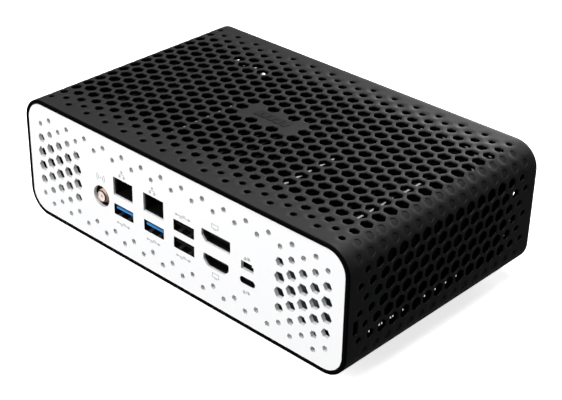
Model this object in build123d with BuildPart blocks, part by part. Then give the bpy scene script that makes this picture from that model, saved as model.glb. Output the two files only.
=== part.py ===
"""Passive mini PC: a honeycomb sleeve, two end panels, a board with its sockets, and a finned cooler.

Frame: origin at the centre of the footprint on the table, +Z up. The socket panel faces -Y and the
button panel faces +Y. All sizes are in millimetres.
"""

from build123d import *
import math
import os

os.makedirs("parts", exist_ok=True)

# Housing
WIDTH = 204.0
DEPTH = 128.0
SHELL_HEIGHT = 62.0
FOOT_HEIGHT = 6.0
CORNER_RADIUS = 12.0
WALL = 2.0
MOUTH_CHAMFER = 0.5
TOP = FOOT_HEIGHT + SHELL_HEIGHT
MIDDLE = FOOT_HEIGHT + SHELL_HEIGHT / 2
HALF_WIDTH = WIDTH / 2
HALF_DEPTH = DEPTH / 2
CORNER_X = HALF_WIDTH - CORNER_RADIUS
CORNER_TOP_Z = TOP - CORNER_RADIUS
CORNER_LOW_Z = FOOT_HEIGHT + CORNER_RADIUS

# Honeycomb: neighbours in a column stand HEX_PITCH apart, and columns stand COLUMN_PITCH apart
HEX_PITCH = 7.5
HALF_PITCH = HEX_PITCH / 2
COLUMN_PITCH = HEX_PITCH * math.sqrt(3) / 2
FULL_HOLE = 5.9
LAST_COLUMN = 14
LAST_ROW = 15
POCKET_DEPTH = 0.7
POCKET_HOLE = 3.8
POCKET_STEP = 27.7
MIDDLE_POCKET_ANGLE = 32.3
HIGH_POCKET_ANGLE = MIDDLE_POCKET_ANGLE + POCKET_STEP
FIRST_LOW_POCKET_ANGLE = -2.4

# End panels
PANEL_GAP = 0.15
PANEL_THICKNESS = 2.0
PANEL_RECESS = 0.2
SOCKET_POCKET = 0.5
PANEL_FACE = HALF_DEPTH - PANEL_RECESS
PANEL_BACK = PANEL_FACE - PANEL_THICKNESS
SOCKET_FACE = PANEL_BACK + SOCKET_POCKET - 0.1
SMALL_VENT = 2.55
PANEL_FIRST_VENT_COLUMN = 10

# Board
BOARD_TOP = 26.3
BOARD_THICKNESS = 1.6
BOARD_UNDERSIDE = BOARD_TOP - BOARD_THICKNESS
BOARD_HALF_WIDTH = 90.0
BOARD_REAR = -61.2
BOARD_FRONT = 58.0
FRAME_TOP = 22.0
SHEET = 1.0

# Sockets of the rear panel: centres are (x, z)
STACK_X = (-32.4, -11.9)
NETWORK_Z = 42.9
NETWORK_OPENING = (13.2, 9.4)
BLUE_BUS_Z = 30.95
BLACK_BUS_X = 7.7
BLACK_BUS_Z = (30.45, 39.4)
BUS_OPENING = (13.1, 5.6)
BUS_SHELL = (12.9, 5.4)
BUS_INSIDE = (12.5, 5.0)
BUS_TONGUE = (11.4, 1.1)
BUS_DEPTH = 14.0
UPPER_VIDEO = (27.65, 42.05)
UPPER_VIDEO_SIZE = (17.5, 6.1)
LOWER_VIDEO = (27.75, 30.2)
LOWER_VIDEO_SIZE = (15.5, 6.0)
KEYED = (46.6, 37.45)
KEYED_SIZE = (7.4, 4.1)
OVAL = (46.7, 30.05)
OVAL_SIZE = (9.0, 3.3)
ANTENNA = (-47.85, 33.6)
ANTENNA_HOLE = 5.4
ANTENNA_BARREL = 3.175

# Sockets and controls of the front panel
BUTTON = (52.0, MIDDLE)
BUTTON_RADIUS = 6.5
FRONT_BUS = (14.0, 30.2)
FRONT_OVAL = (33.0, 29.4)
AUDIO_X = (-22.0, -8.0)
AUDIO_Z = 30.0
CARD = (-45.0, 28.6)
CARD_SIZE = (25.0, 3.0)
LIGHTS_X = (33.5, 39.5, 45.5)
LIGHTS_Z = 47.0
LIGHT_RADIUS = 0.9

# Underside
OPENING_SIZE = (136.0, 106.0)
COVER_GAP = 0.3
COVER_THICKNESS = 1.7
COVER_HOLE = 4.2
FEET = (82.0, 42.0)
FOOT_RADIUS = 7.0
FOOT_CHAMFER = 0.6
THUMBSCREW = (26.0, 47.0)
LEDGE_SIZE = (16.0, 18.0, 4.0)
LEDGE_REACH = 3.0
LEDGE_BORE = 2.0
SCREW_SHANK = 1.93
COVER_SCREW_HOLE = 2.3
OPENING_CORNER = 4.0


def hole_size(row):
    """Across-flats size of a sleeve hole: full inside, and smaller towards both mouths."""
    edge_sizes = {15: 3.1, 14: 3.2, 13: 4.2, 12: 4.8, 11: 5.4}
    return edge_sizes.get(abs(row), FULL_HOLE)


def honeycomb(columns, rows, size_of):
    """Centres of a honeycomb grouped by hole size, as {across flats: [(column, row), ...]}."""
    groups = {}
    for column in columns:
        for row in rows:
            size = size_of(column, row)
            if (column + row) % 2 and size:
                groups.setdefault(size, []).append((column, row))
    return groups


def draw_hexagons(groups, place, rotation=0, mode=Mode.ADD):
    """Draw the grouped hexagons in the open sketch, each at place(column, row)."""
    for size, sites in groups.items():
        with Locations(*[place(column, row) for column, row in sites]):
            RegularPolygon(size / math.sqrt(3), 6, rotation=rotation, mode=mode)


def draw_sleeve_ring():
    """Cross-section of the whole sleeve, with its round corners, in the XZ plane."""
    with Locations((0, MIDDLE)):
        RectangleRounded(WIDTH, SHELL_HEIGHT, CORNER_RADIUS)
        RectangleRounded(WIDTH - 2 * WALL, SHELL_HEIGHT - 2 * WALL, CORNER_RADIUS - WALL, mode=Mode.SUBTRACT)


def outer_mouth_edges(part):
    """Edges of both mouths that lie on the sleeve's outer outline."""
    def on_outline(edge):
        middle = edge.position_at(0.5)
        across = max(abs(middle.X) - CORNER_X, 0)
        up = max(abs(middle.Z - MIDDLE) - (SHELL_HEIGHT / 2 - CORNER_RADIUS), 0)
        at_mouth = abs(abs(middle.Y) - HALF_DEPTH) < 0.01
        return at_mouth and abs(math.hypot(across, up) - CORNER_RADIUS) < 0.01
    return [edge for edge in part.edges() if on_outline(edge)]


def corner_plane(side, centre_z, angle):
    """Plane on the round corner, its normal pointing out at this angle above the horizontal."""
    out = (side * math.cos(math.radians(angle)), 0, math.sin(math.radians(angle)))
    origin = (side * CORNER_X + CORNER_RADIUS * out[0], 0, centre_z + CORNER_RADIUS * out[2])
    return Plane(origin=origin, x_dir=(0, 1, 0), z_dir=out)


def cut_corner_pockets(centre_z, angles, first_parity):
    """Cut blind hexagons round one pair of corners, in columns whose rows alternate."""
    for side in (-1, 1):
        for step, angle in enumerate(angles):
            parity = (first_parity + step) % 2
            rows = [row for row in range(-LAST_ROW, LAST_ROW + 1) if row % 2 == parity]
            with BuildSketch(corner_plane(side, centre_z, angle).offset(1)) as pockets:
                for row in rows:
                    with Locations((row * HALF_PITCH, 0)):
                        size = min(hole_size(row), POCKET_HOLE)
                        RegularPolygon(size / math.sqrt(3), 6, rotation=30)
            extrude(pockets.sketch, amount=-(1 + POCKET_DEPTH), mode=Mode.SUBTRACT)


# --- Sleeve: one moulding, kept as five nodes so that each is close to its convex hull ---

SEAM_X = 94.15
SEAM_ANGLE = 20.0
LOW_SEAM_Z = 20.3
FAR = 60.0
seam_slope = math.tan(math.radians(SEAM_ANGLE))
seam_rise = FAR * seam_slope


def wordmark_site(column, row):
    """True at the sites in the middle of the top that stay solid."""
    return (abs(column), abs(row)) in ((0, 1), (1, 0), (2, 1))


def cut_top_holes(columns):
    """Cut these columns of the top's honeycomb through the open part."""
    with BuildSketch(Plane.XY.offset(TOP - 3 * WALL)) as drawn:
        top_holes = honeycomb(
            columns,
            range(-LAST_ROW, LAST_ROW + 1),
            lambda column, row: 0 if wordmark_site(column, row) else hole_size(row),
        )
        draw_hexagons(top_holes, lambda column, row: (column * COLUMN_PITCH, row * HALF_PITCH))
    extrude(drawn.sketch, amount=4 * WALL, mode=Mode.SUBTRACT)


with BuildPart() as sleeve_top:
    with BuildSketch(Plane.XZ.offset(HALF_DEPTH)):
        draw_sleeve_ring()
        with Locations((0, CORNER_TOP_Z)):
            Rectangle(2 * SEAM_X, FAR, align=(Align.CENTER, Align.MIN), mode=Mode.INTERSECT)
    extrude(amount=-DEPTH)
    chamfer(outer_mouth_edges(sleeve_top.part), MOUTH_CHAMFER)
    cut_corner_pockets(CORNER_TOP_Z, (HIGH_POCKET_ANGLE,), 0)
    cut_top_holes(range(-LAST_COLUMN, LAST_COLUMN + 1))
sleeve_top.part.label = "sleeve_top"
export_step(sleeve_top.part, "parts/sleeve_top.step")

with BuildPart() as sleeve_corners:
    for side in (-1, 1):
        with BuildSketch(Plane.XZ.offset(HALF_DEPTH)):
            draw_sleeve_ring()
            Polygon(
                (side * SEAM_X, CORNER_TOP_Z + (SEAM_X - CORNER_X) * seam_slope),
                (side * (CORNER_X + FAR), CORNER_TOP_Z + seam_rise),
                (side * (CORNER_X + FAR), TOP + FAR),
                (side * SEAM_X, TOP + FAR),
                align=None,
                mode=Mode.INTERSECT,
            )
        extrude(amount=-DEPTH)
    chamfer(outer_mouth_edges(sleeve_corners.part), MOUTH_CHAMFER)
    cut_corner_pockets(CORNER_TOP_Z, (MIDDLE_POCKET_ANGLE, HIGH_POCKET_ANGLE), 1)
    cut_top_holes((-LAST_COLUMN, LAST_COLUMN))
sleeve_corners.part.label = "sleeve_corners"
export_step(sleeve_corners.part, "parts/sleeve_corners.step")

LOCK_SLOT = (3.0, 7.0)
LOCK_SLOT_CENTRE = (-HALF_DEPTH + 5.5, 31.0)


def build_sleeve_side(side):
    """One side wall, up onto the round corner; the +X wall has the lock slot."""
    with BuildPart() as wall:
        with BuildSketch(Plane.XZ.offset(HALF_DEPTH)):
            draw_sleeve_ring()
            Polygon(
                (side * CORNER_X, CORNER_TOP_Z),
                (side * (CORNER_X + FAR), CORNER_TOP_Z + seam_rise),
                (side * (CORNER_X + FAR), LOW_SEAM_Z),
                (side * CORNER_X, LOW_SEAM_Z),
                align=None,
                mode=Mode.INTERSECT,
            )
        extrude(amount=-DEPTH)
        chamfer(outer_mouth_edges(wall.part), MOUTH_CHAMFER)
        with BuildSketch(Plane.YZ.offset(side * (HALF_WIDTH - 3 * WALL))):
            holes = honeycomb(range(-2, 4), range(-LAST_ROW, LAST_ROW + 1), lambda column, row: hole_size(row))
            draw_hexagons(holes, lambda column, row: (row * HALF_PITCH, MIDDLE + column * COLUMN_PITCH), 30)
            if side > 0:
                with Locations(LOCK_SLOT_CENTRE):
                    RectangleRounded(*LOCK_SLOT, 0.8)
        extrude(amount=side * 4 * WALL, mode=Mode.SUBTRACT)
    return wall.part


sleeve_left = build_sleeve_side(-1)
sleeve_left.label = "sleeve_left"
export_step(sleeve_left, "parts/sleeve_left.step")

sleeve_right = build_sleeve_side(1)
sleeve_right.label = "sleeve_right"
export_step(sleeve_right, "parts/sleeve_right.step")

with BuildPart() as sleeve_bottom:
    with BuildSketch(Plane.XZ.offset(HALF_DEPTH)):
        draw_sleeve_ring()
        with Locations((0, LOW_SEAM_Z)):
            Rectangle(2 * WIDTH, FAR, align=(Align.CENTER, Align.MAX), mode=Mode.INTERSECT)
    extrude(amount=-DEPTH)
    chamfer(outer_mouth_edges(sleeve_bottom.part), MOUTH_CHAMFER)
    cut_corner_pockets(CORNER_LOW_Z, [FIRST_LOW_POCKET_ANGLE - step * POCKET_STEP for step in range(3)], 0)
    with BuildSketch(Plane.XY):
        RectangleRounded(*OPENING_SIZE, OPENING_CORNER)
    extrude(amount=2 * FOOT_HEIGHT, mode=Mode.SUBTRACT)
    # Two ledges reach in over the opening and take the cover's thumbscrews
    with BuildSketch(Plane.XY.offset(FOOT_HEIGHT + WALL)):
        ledge_y = THUMBSCREW[1] + LEDGE_REACH
        with Locations((THUMBSCREW[0], ledge_y), (THUMBSCREW[0], -ledge_y)):
            Rectangle(LEDGE_SIZE[0], LEDGE_SIZE[1])
        with Locations(THUMBSCREW, (THUMBSCREW[0], -THUMBSCREW[1])):
            Circle(LEDGE_BORE, mode=Mode.SUBTRACT)
    extrude(amount=LEDGE_SIZE[2])
sleeve_bottom.part.label = "sleeve_bottom"
export_step(sleeve_bottom.part, "parts/sleeve_bottom.step")


# --- End panels: white plates that close both mouths ---

def draw_panel_outline():
    with Locations((0, MIDDLE)):
        RectangleRounded(
            WIDTH - 2 * (WALL + PANEL_GAP),
            SHELL_HEIGHT - 2 * (WALL + PANEL_GAP),
            CORNER_RADIUS - WALL - PANEL_GAP,
        )


def panel_hole_size(column, row):
    """Small holes run along both long edges, and a larger cluster fills each end."""
    if abs(row) >= 5:
        return SMALL_VENT
    if abs(column) < PANEL_FIRST_VENT_COLUMN:
        return 0
    return {4: 3.3, 3: 4.15, 2: 4.7}.get(abs(row), 5.1)


def cut_panel_vents():
    """Draw the panel's holes as cuts in the open XZ sketch."""
    vents = honeycomb(range(-LAST_COLUMN, LAST_COLUMN + 1), range(-6, 7), panel_hole_size)
    draw_hexagons(
        vents,
        lambda column, row: (column * COLUMN_PITCH, MIDDLE + row * HALF_PITCH),
        mode=Mode.SUBTRACT,
    )


UPPER_VIDEO_CUT = 2.6
LOWER_VIDEO_CUT = 2.7
LOWER_VIDEO_ROUND = 0.8
KEY_NOTCH = 1.0
THIN_AREA = (112.0, 27.0)
THIN_AREA_CENTRE = (-1.0, MIDDLE + 1.0)
JACK_HOLE = 3.3
CARD_CORNER = 0.5
BUTTON_GAP = 0.3
LIGHT_GAP = 0.05


def draw_upper_video(margin, mode=Mode.ADD):
    """Long socket outline with one cut corner, grown or shrunk by a margin."""
    across = UPPER_VIDEO_SIZE[0] / 2 + margin
    up = UPPER_VIDEO_SIZE[1] / 2 + margin
    with BuildSketch(mode=Mode.PRIVATE) as outline:
        with Locations(UPPER_VIDEO):
            Rectangle(2 * across, 2 * up)
        by_height = outline.vertices().sort_by(Axis.Y)
        low_left = by_height[:2].sort_by(Axis.X)[0]
        chamfer(low_left, UPPER_VIDEO_CUT)
    add(outline.sketch_local, mode=mode)


def draw_lower_video(margin, mode=Mode.ADD):
    """Long socket outline with both lower corners cut, grown or shrunk by a margin."""
    across = LOWER_VIDEO_SIZE[0] / 2 + margin
    up = LOWER_VIDEO_SIZE[1] / 2 + margin
    with BuildSketch(mode=Mode.PRIVATE) as outline:
        with Locations(LOWER_VIDEO):
            Rectangle(2 * across, 2 * up)
        low_pair = outline.vertices().sort_by(Axis.Y)[:2]
        chamfer(low_pair, LOWER_VIDEO_CUT)
        fillet(outline.vertices().sort_by(Axis.Y)[-2:], LOWER_VIDEO_ROUND)
    add(outline.sketch_local, mode=mode)


def draw_keyed(margin, mode=Mode.ADD):
    """Small socket outline with a square notch in its upper corner."""
    across = KEYED_SIZE[0] / 2 + margin
    up = KEYED_SIZE[1] / 2 + margin
    with BuildSketch(mode=Mode.PRIVATE) as outline:
        with Locations(KEYED):
            Rectangle(2 * across, 2 * up)
        with Locations((KEYED[0] + across, KEYED[1] + up)):
            Rectangle(KEY_NOTCH, KEY_NOTCH, align=(Align.MAX, Align.MAX), mode=Mode.SUBTRACT)
    add(outline.sketch_local, mode=mode)


with BuildPart() as rear_panel:
    with BuildSketch(Plane.XZ.offset(PANEL_FACE)):
        draw_panel_outline()
        cut_panel_vents()
        with Locations(*[(x, NETWORK_Z) for x in STACK_X]):
            Rectangle(*NETWORK_OPENING, mode=Mode.SUBTRACT)
        with Locations(*[(x, BLUE_BUS_Z) for x in STACK_X], *[(BLACK_BUS_X, z) for z in BLACK_BUS_Z]):
            Rectangle(*BUS_OPENING, mode=Mode.SUBTRACT)
        draw_upper_video(0, Mode.SUBTRACT)
        draw_lower_video(0, Mode.SUBTRACT)
        draw_keyed(0, Mode.SUBTRACT)
        with Locations(OVAL):
            SlotOverall(*OVAL_SIZE, mode=Mode.SUBTRACT)
        with Locations(ANTENNA):
            Circle(ANTENNA_HOLE, mode=Mode.SUBTRACT)
    extrude(amount=-PANEL_THICKNESS)
    # The plate is thinner behind the sockets, so that they sit close to its face
    with BuildSketch(Plane.XZ.offset(PANEL_BACK)):
        with Locations(THIN_AREA_CENTRE):
            Rectangle(*THIN_AREA)
    extrude(amount=SOCKET_POCKET, mode=Mode.SUBTRACT)
rear_panel.part.label = "rear_panel"
export_step(rear_panel.part, "parts/rear_panel.step")

with BuildPart() as front_panel:
    with BuildSketch(Plane.XZ.offset(-PANEL_FACE)):
        draw_panel_outline()
        cut_panel_vents()
        with Locations(FRONT_BUS):
            Rectangle(*BUS_OPENING, mode=Mode.SUBTRACT)
        with Locations(FRONT_OVAL):
            SlotOverall(*OVAL_SIZE, mode=Mode.SUBTRACT)
        with Locations(*[(x, AUDIO_Z) for x in AUDIO_X]):
            Circle(JACK_HOLE, mode=Mode.SUBTRACT)
        with Locations(CARD):
            RectangleRounded(*CARD_SIZE, CARD_CORNER, mode=Mode.SUBTRACT)
        with Locations(BUTTON):
            Circle(BUTTON_RADIUS + BUTTON_GAP, mode=Mode.SUBTRACT)
        with Locations(*[(x, LIGHTS_Z) for x in LIGHTS_X]):
            Circle(LIGHT_RADIUS + LIGHT_GAP, mode=Mode.SUBTRACT)
    extrude(amount=PANEL_THICKNESS)
front_panel.part.label = "front_panel"
export_step(front_panel.part, "parts/front_panel.step")


# --- Underside: feet, service cover and its thumbscrews ---

with BuildPart() as rubber_feet:
    with BuildSketch(Plane.XY):
        with GridLocations(2 * FEET[0], 2 * FEET[1], 2, 2):
            Circle(FOOT_RADIUS)
    extrude(amount=FOOT_HEIGHT)
    chamfer(rubber_feet.faces().filter_by(Axis.Z).group_by(Axis.Z)[0].edges(), FOOT_CHAMFER)
rubber_feet.part.label = "rubber_feet"
export_step(rubber_feet.part, "parts/rubber_feet.step")

SCREW_CLEARANCE = 8.0
COVER_LAST_COLUMN = 7
COVER_LAST_ROW = 10


def near_thumbscrew(column, row):
    """True where a vent would run into a thumbscrew's hole."""
    across = column * COLUMN_PITCH - THUMBSCREW[0]
    along = abs(row * HALF_PITCH) - THUMBSCREW[1]
    return math.hypot(across, along) < SCREW_CLEARANCE


with BuildPart() as bottom_cover:
    with BuildSketch(Plane.XY.offset(FOOT_HEIGHT)):
        RectangleRounded(
            OPENING_SIZE[0] - 2 * COVER_GAP,
            OPENING_SIZE[1] - 2 * COVER_GAP,
            OPENING_CORNER - COVER_GAP,
        )
        cover_vents = honeycomb(
            range(-COVER_LAST_COLUMN, COVER_LAST_COLUMN + 1),
            range(-COVER_LAST_ROW, COVER_LAST_ROW + 1),
            lambda column, row: 0 if near_thumbscrew(column, row) else COVER_HOLE,
        )
        draw_hexagons(
            cover_vents,
            lambda column, row: (column * COLUMN_PITCH, row * HALF_PITCH),
            mode=Mode.SUBTRACT,
        )
        with Locations(THUMBSCREW, (THUMBSCREW[0], -THUMBSCREW[1])):
            Circle(COVER_SCREW_HOLE, mode=Mode.SUBTRACT)
    extrude(amount=COVER_THICKNESS)
bottom_cover.part.label = "bottom_cover"
export_step(bottom_cover.part, "parts/bottom_cover.step")


HEAD_RADIUS = 5.0
HEAD_HEIGHT = 2.8
HEAD_GAP = 0.3
KNURLS = 18
KNURL_RADIUS = 0.35
DRIVE_SLOT = (6.0, 1.2, 1.0)
SHANK_LENGTH = 5.6


def build_thumbscrew(x, y):
    """Knurled head under the cover, with its thread up into the ledge."""
    head_top = FOOT_HEIGHT - HEAD_GAP
    with BuildPart() as screw:
        with BuildSketch(Plane.XY.offset(head_top - HEAD_HEIGHT)):
            with Locations((x, y)):
                Circle(HEAD_RADIUS)
                with PolarLocations(HEAD_RADIUS, KNURLS):
                    Circle(KNURL_RADIUS, mode=Mode.SUBTRACT)
        extrude(amount=HEAD_HEIGHT)
        with BuildSketch(Plane.XY.offset(head_top - HEAD_HEIGHT)):
            with Locations((x, y)):
                SlotOverall(DRIVE_SLOT[0], DRIVE_SLOT[1])
        extrude(amount=DRIVE_SLOT[2], mode=Mode.SUBTRACT)
        with BuildSketch(Plane.XY.offset(head_top)):
            with Locations((x, y)):
                Circle(SCREW_SHANK)
        extrude(amount=SHANK_LENGTH)
    return screw.part


thumbscrew_rear = build_thumbscrew(THUMBSCREW[0], -THUMBSCREW[1])
thumbscrew_rear.label = "thumbscrew_rear"
export_step(thumbscrew_rear, "parts/thumbscrew_rear.step")

thumbscrew_front = build_thumbscrew(*THUMBSCREW)
thumbscrew_front.label = "thumbscrew_front"
export_step(thumbscrew_front, "parts/thumbscrew_front.step")


# --- Steel frame, standoffs, board and its screws ---

FRAME_SIZE = (186.0, 114.0)
FRAME_INNER = (164.0, 92.0)
FRAME_INNER_Y = -2.0
FIXINGS = [(x, y) for x in (-86.0, 86.0) for y in (-53.0, 0.0, 50.0)]
SOCKET_NOTCH = (40.0, 10.6)
SOCKET_NOTCH_AT = (-30.0, -47.5)
SIDE_SHEET_LENGTH = 118.0
SIDE_SHEET_TOP = 64.6
FLANGE_LENGTH = FRAME_SIZE[1] - 12
FLANGE_SLOT = (12.0, 3.0)
FLANGE_SLOT_PITCH = 24.0
FLANGE_SLOT_Z = 11.4
side_lines = [(sign * (FRAME_SIZE[0] - SHEET) / 2, 0) for sign in (1, -1)]

with BuildPart() as mount_frame:
    with BuildSketch(Plane.XY.offset(FRAME_TOP - SHEET)):
        RectangleRounded(*FRAME_SIZE, 3)
        with Locations((0, FRAME_INNER_Y)):
            RectangleRounded(*FRAME_INNER, 3, mode=Mode.SUBTRACT)
        # Notch for the drive's upright socket
        with Locations(SOCKET_NOTCH_AT):
            Rectangle(*SOCKET_NOTCH, mode=Mode.SUBTRACT)
    extrude(amount=SHEET)
    # Side sheets fold up along both sides and close the view through the sleeve's walls
    with BuildSketch(Plane.XY.offset(FRAME_TOP - SHEET)):
        with Locations(*side_lines):
            Rectangle(SHEET, SIDE_SHEET_LENGTH)
    extrude(amount=SIDE_SHEET_TOP - FRAME_TOP + SHEET)
    # Flanges fold down along both sides and stand where the sleeve's floor curves up
    with BuildSketch(Plane.XY.offset(FOOT_HEIGHT + WALL + 0.5)):
        with Locations(*side_lines):
            Rectangle(SHEET, FLANGE_LENGTH)
    extrude(until=Until.NEXT)
    with BuildSketch(Plane.YZ.offset(-HALF_WIDTH)):
        with GridLocations(FLANGE_SLOT_PITCH, 1, 4, 1):
            with Locations((0, FLANGE_SLOT_Z)):
                SlotOverall(*FLANGE_SLOT)
    extrude(amount=WIDTH, mode=Mode.SUBTRACT)
mount_frame.part.label = "mount_frame"
export_step(mount_frame.part, "parts/mount_frame.step")

STANDOFF_RADIUS = 2.9
STANDOFF_BORE = 1.3
BOARD_HOLE = 1.6
BOARD_SCREW_SHANK = 1.25
BOARD_SCREW_HEAD = (2.8, 1.8)
CROSS_SLOT = (3.2, 0.8)
CROSS_DEPTH = 1.0

with BuildPart() as standoffs:
    with BuildSketch(Plane.XY.offset(FRAME_TOP)):
        with Locations(*FIXINGS):
            RegularPolygon(STANDOFF_RADIUS, 6)
            Circle(STANDOFF_BORE, mode=Mode.SUBTRACT)
    extrude(amount=BOARD_UNDERSIDE - FRAME_TOP)
standoffs.part.label = "standoffs"
export_step(standoffs.part, "parts/standoffs.step")

with BuildPart() as mainboard:
    with BuildSketch(Plane.XY.offset(BOARD_UNDERSIDE)):
        with Locations((0, (BOARD_REAR + BOARD_FRONT) / 2)):
            RectangleRounded(2 * BOARD_HALF_WIDTH, BOARD_FRONT - BOARD_REAR, 2)
        with Locations(*FIXINGS):
            Circle(BOARD_HOLE, mode=Mode.SUBTRACT)
    extrude(amount=BOARD_THICKNESS)
mainboard.part.label = "mainboard"
export_step(mainboard.part, "parts/mainboard.step")

with BuildPart() as board_screws:
    with BuildSketch(Plane.XY.offset(FRAME_TOP + 0.2)):
        with Locations(*FIXINGS):
            Circle(BOARD_SCREW_SHANK)
    extrude(amount=BOARD_TOP - FRAME_TOP - 0.2)
    with BuildSketch(Plane.XY.offset(BOARD_TOP)):
        with Locations(*FIXINGS):
            Circle(BOARD_SCREW_HEAD[0])
    extrude(amount=BOARD_SCREW_HEAD[1])
    with BuildSketch(Plane.XY.offset(BOARD_TOP + BOARD_SCREW_HEAD[1] - CROSS_DEPTH)):
        with Locations(*FIXINGS):
            Rectangle(*CROSS_SLOT)
            Rectangle(*CROSS_SLOT[::-1])
    extrude(amount=CROSS_DEPTH, mode=Mode.SUBTRACT)
board_screws.part.label = "board_screws"
export_step(board_screws.part, "parts/board_screws.step")


# --- Processor and its passive cooler ---

PROCESSOR_Y = 4.0
COOLER_HALF_WIDTH = 79.0
COOLER_REAR = -36.0
COOLER_FRONT = 44.0
BASE_UNDERSIDE = 30.5
BASE_TOP = 35.5
FIN_TOP = 63.0
FIN_PITCH = 7.18
FIN_COUNT = 23
FIN_THICKNESS = 1.2
PIPE_Y = (PROCESSOR_Y - 9.0, PROCESSOR_Y + 9.0)
PIPE_SIZE = (8.0, 3.0)
PIPE_HALF_LENGTH = 72.8
PIPE_GAP = 0.1
PACKAGE = (42.0, 28.0, 1.4)
DIE = (18.0, 12.0, 0.8)
DIE_CENTRE = (-4.0, PROCESSOR_Y)
DIE_TOP = BOARD_TOP + PACKAGE[2] + DIE[2]
PAD_THICKNESS = 0.3
PAD_MARGIN = 2.0
PAD_TOP = DIE_TOP + PAD_THICKNESS
PEDESTAL = (30.0, 24.0)

with BuildPart() as processor:
    with BuildSketch(Plane.XY.offset(BOARD_TOP)):
        with Locations((0, PROCESSOR_Y)):
            Rectangle(PACKAGE[0], PACKAGE[1])
    extrude(amount=PACKAGE[2])
    with BuildSketch(Plane.XY.offset(BOARD_TOP + PACKAGE[2])):
        with Locations(DIE_CENTRE):
            Rectangle(DIE[0], DIE[1])
    extrude(amount=DIE[2])
processor.part.label = "processor"
export_step(processor.part, "parts/processor.step")

with BuildPart() as thermal_pad:
    with BuildSketch(Plane.XY.offset(DIE_TOP)):
        with Locations(DIE_CENTRE):
            Rectangle(DIE[0] + PAD_MARGIN, DIE[1] + PAD_MARGIN)
    extrude(amount=PAD_THICKNESS)
thermal_pad.part.label = "thermal_pad"
export_step(thermal_pad.part, "parts/thermal_pad.step")

cooler_centre = (0, (COOLER_REAR + COOLER_FRONT) / 2)
cooler_length = COOLER_FRONT - COOLER_REAR

with BuildPart() as heat_sink:
    with BuildSketch(Plane.XY.offset(BASE_UNDERSIDE)):
        with Locations(cooler_centre):
            RectangleRounded(2 * COOLER_HALF_WIDTH + 2, cooler_length, 2)
    extrude(amount=BASE_TOP - BASE_UNDERSIDE)
    with BuildSketch(Plane.XY.offset(PAD_TOP)):
        with Locations(DIE_CENTRE):
            Rectangle(*PEDESTAL)
    extrude(until=Until.NEXT)
    with BuildSketch(Plane.XY.offset(BASE_UNDERSIDE)):
        with Locations(*[(0, y) for y in PIPE_Y]):
            Rectangle(2 * (PIPE_HALF_LENGTH + 2 * PIPE_GAP), PIPE_SIZE[0] + 2 * PIPE_GAP)
    extrude(amount=PIPE_SIZE[1] + PIPE_GAP, mode=Mode.SUBTRACT)
    with BuildSketch(Plane.XY.offset(BASE_TOP)):
        with Locations(cooler_centre):
            with GridLocations(FIN_PITCH, 1, FIN_COUNT, 1):
                Rectangle(FIN_THICKNESS, cooler_length - 2)
    extrude(amount=FIN_TOP - BASE_TOP)
heat_sink.part.label = "heat_sink"
export_step(heat_sink.part, "parts/heat_sink.step")

with BuildPart() as heat_pipes:
    for pipe_y in PIPE_Y:
        with BuildSketch(Plane.YZ.offset(-PIPE_HALF_LENGTH)):
            with Locations((pipe_y, BASE_UNDERSIDE + PIPE_SIZE[1] / 2)):
                SlotOverall(*PIPE_SIZE)
        extrude(amount=2 * PIPE_HALF_LENGTH)
heat_pipes.part.label = "heat_pipes"
export_step(heat_pipes.part, "parts/heat_pipes.step")

COOLER_SCREWS = [(x, y) for x in (-30.0, 30.0) for y in (PROCESSOR_Y - 20, PROCESSOR_Y + 20)]
COOLER_SCREW_RADIUS = 2.6
COOLER_SCREW_HEIGHT = 1.6

with BuildPart() as cooler_screws:
    with BuildSketch(Plane.XY.offset(BOARD_UNDERSIDE - COOLER_SCREW_HEIGHT)):
        with Locations(*COOLER_SCREWS):
            Circle(COOLER_SCREW_RADIUS)
    extrude(amount=COOLER_SCREW_HEIGHT)
cooler_screws.part.label = "cooler_screws"
export_step(cooler_screws.part, "parts/cooler_screws.step")

with BuildPart() as cooler_posts:
    with BuildSketch(Plane.XY.offset(BOARD_TOP)):
        with Locations(*COOLER_SCREWS):
            Circle(COOLER_SCREW_RADIUS)
    extrude(amount=BASE_UNDERSIDE - BOARD_TOP)
cooler_posts.part.label = "cooler_posts"
export_step(cooler_posts.part, "parts/cooler_posts.step")

INDUCTOR_CENTRE = (48.0, PROCESSOR_Y)
INDUCTOR_SIDE = 7.0
INDUCTOR_PITCH = 9.0
INDUCTOR_HEIGHT = 3.0

with BuildPart() as inductors:
    with BuildSketch(Plane.XY.offset(BOARD_TOP)):
        with Locations(INDUCTOR_CENTRE):
            with GridLocations(INDUCTOR_PITCH, INDUCTOR_PITCH, 2, 4):
                RectangleRounded(INDUCTOR_SIDE, INDUCTOR_SIDE, 0.8)
    extrude(amount=INDUCTOR_HEIGHT)
inductors.part.label = "inductors"
export_step(inductors.part, "parts/inductors.step")

CAPACITOR_CENTRE = (63.0, -46.0)
CAPACITOR_RADIUS = 3.1
CAPACITOR_PITCH = 8.0
CAPACITOR_HEIGHT = 7.5

with BuildPart() as capacitors:
    with BuildSketch(Plane.XY.offset(BOARD_TOP)):
        with Locations(CAPACITOR_CENTRE):
            with GridLocations(CAPACITOR_PITCH, CAPACITOR_PITCH, 4, 2):
                Circle(CAPACITOR_RADIUS)
    extrude(amount=CAPACITOR_HEIGHT)
capacitors.part.label = "capacitors"
export_step(capacitors.part, "parts/capacitors.step")


# --- Network and bus sockets ---

STACK_WIDTH = 16.6
STACK_HEIGHT = 24.2
STACK_REAR = -41.0
STACK_BACK_WALL = 4.0
NETWORK_CAVITY = (12.0, 8.6)

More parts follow.
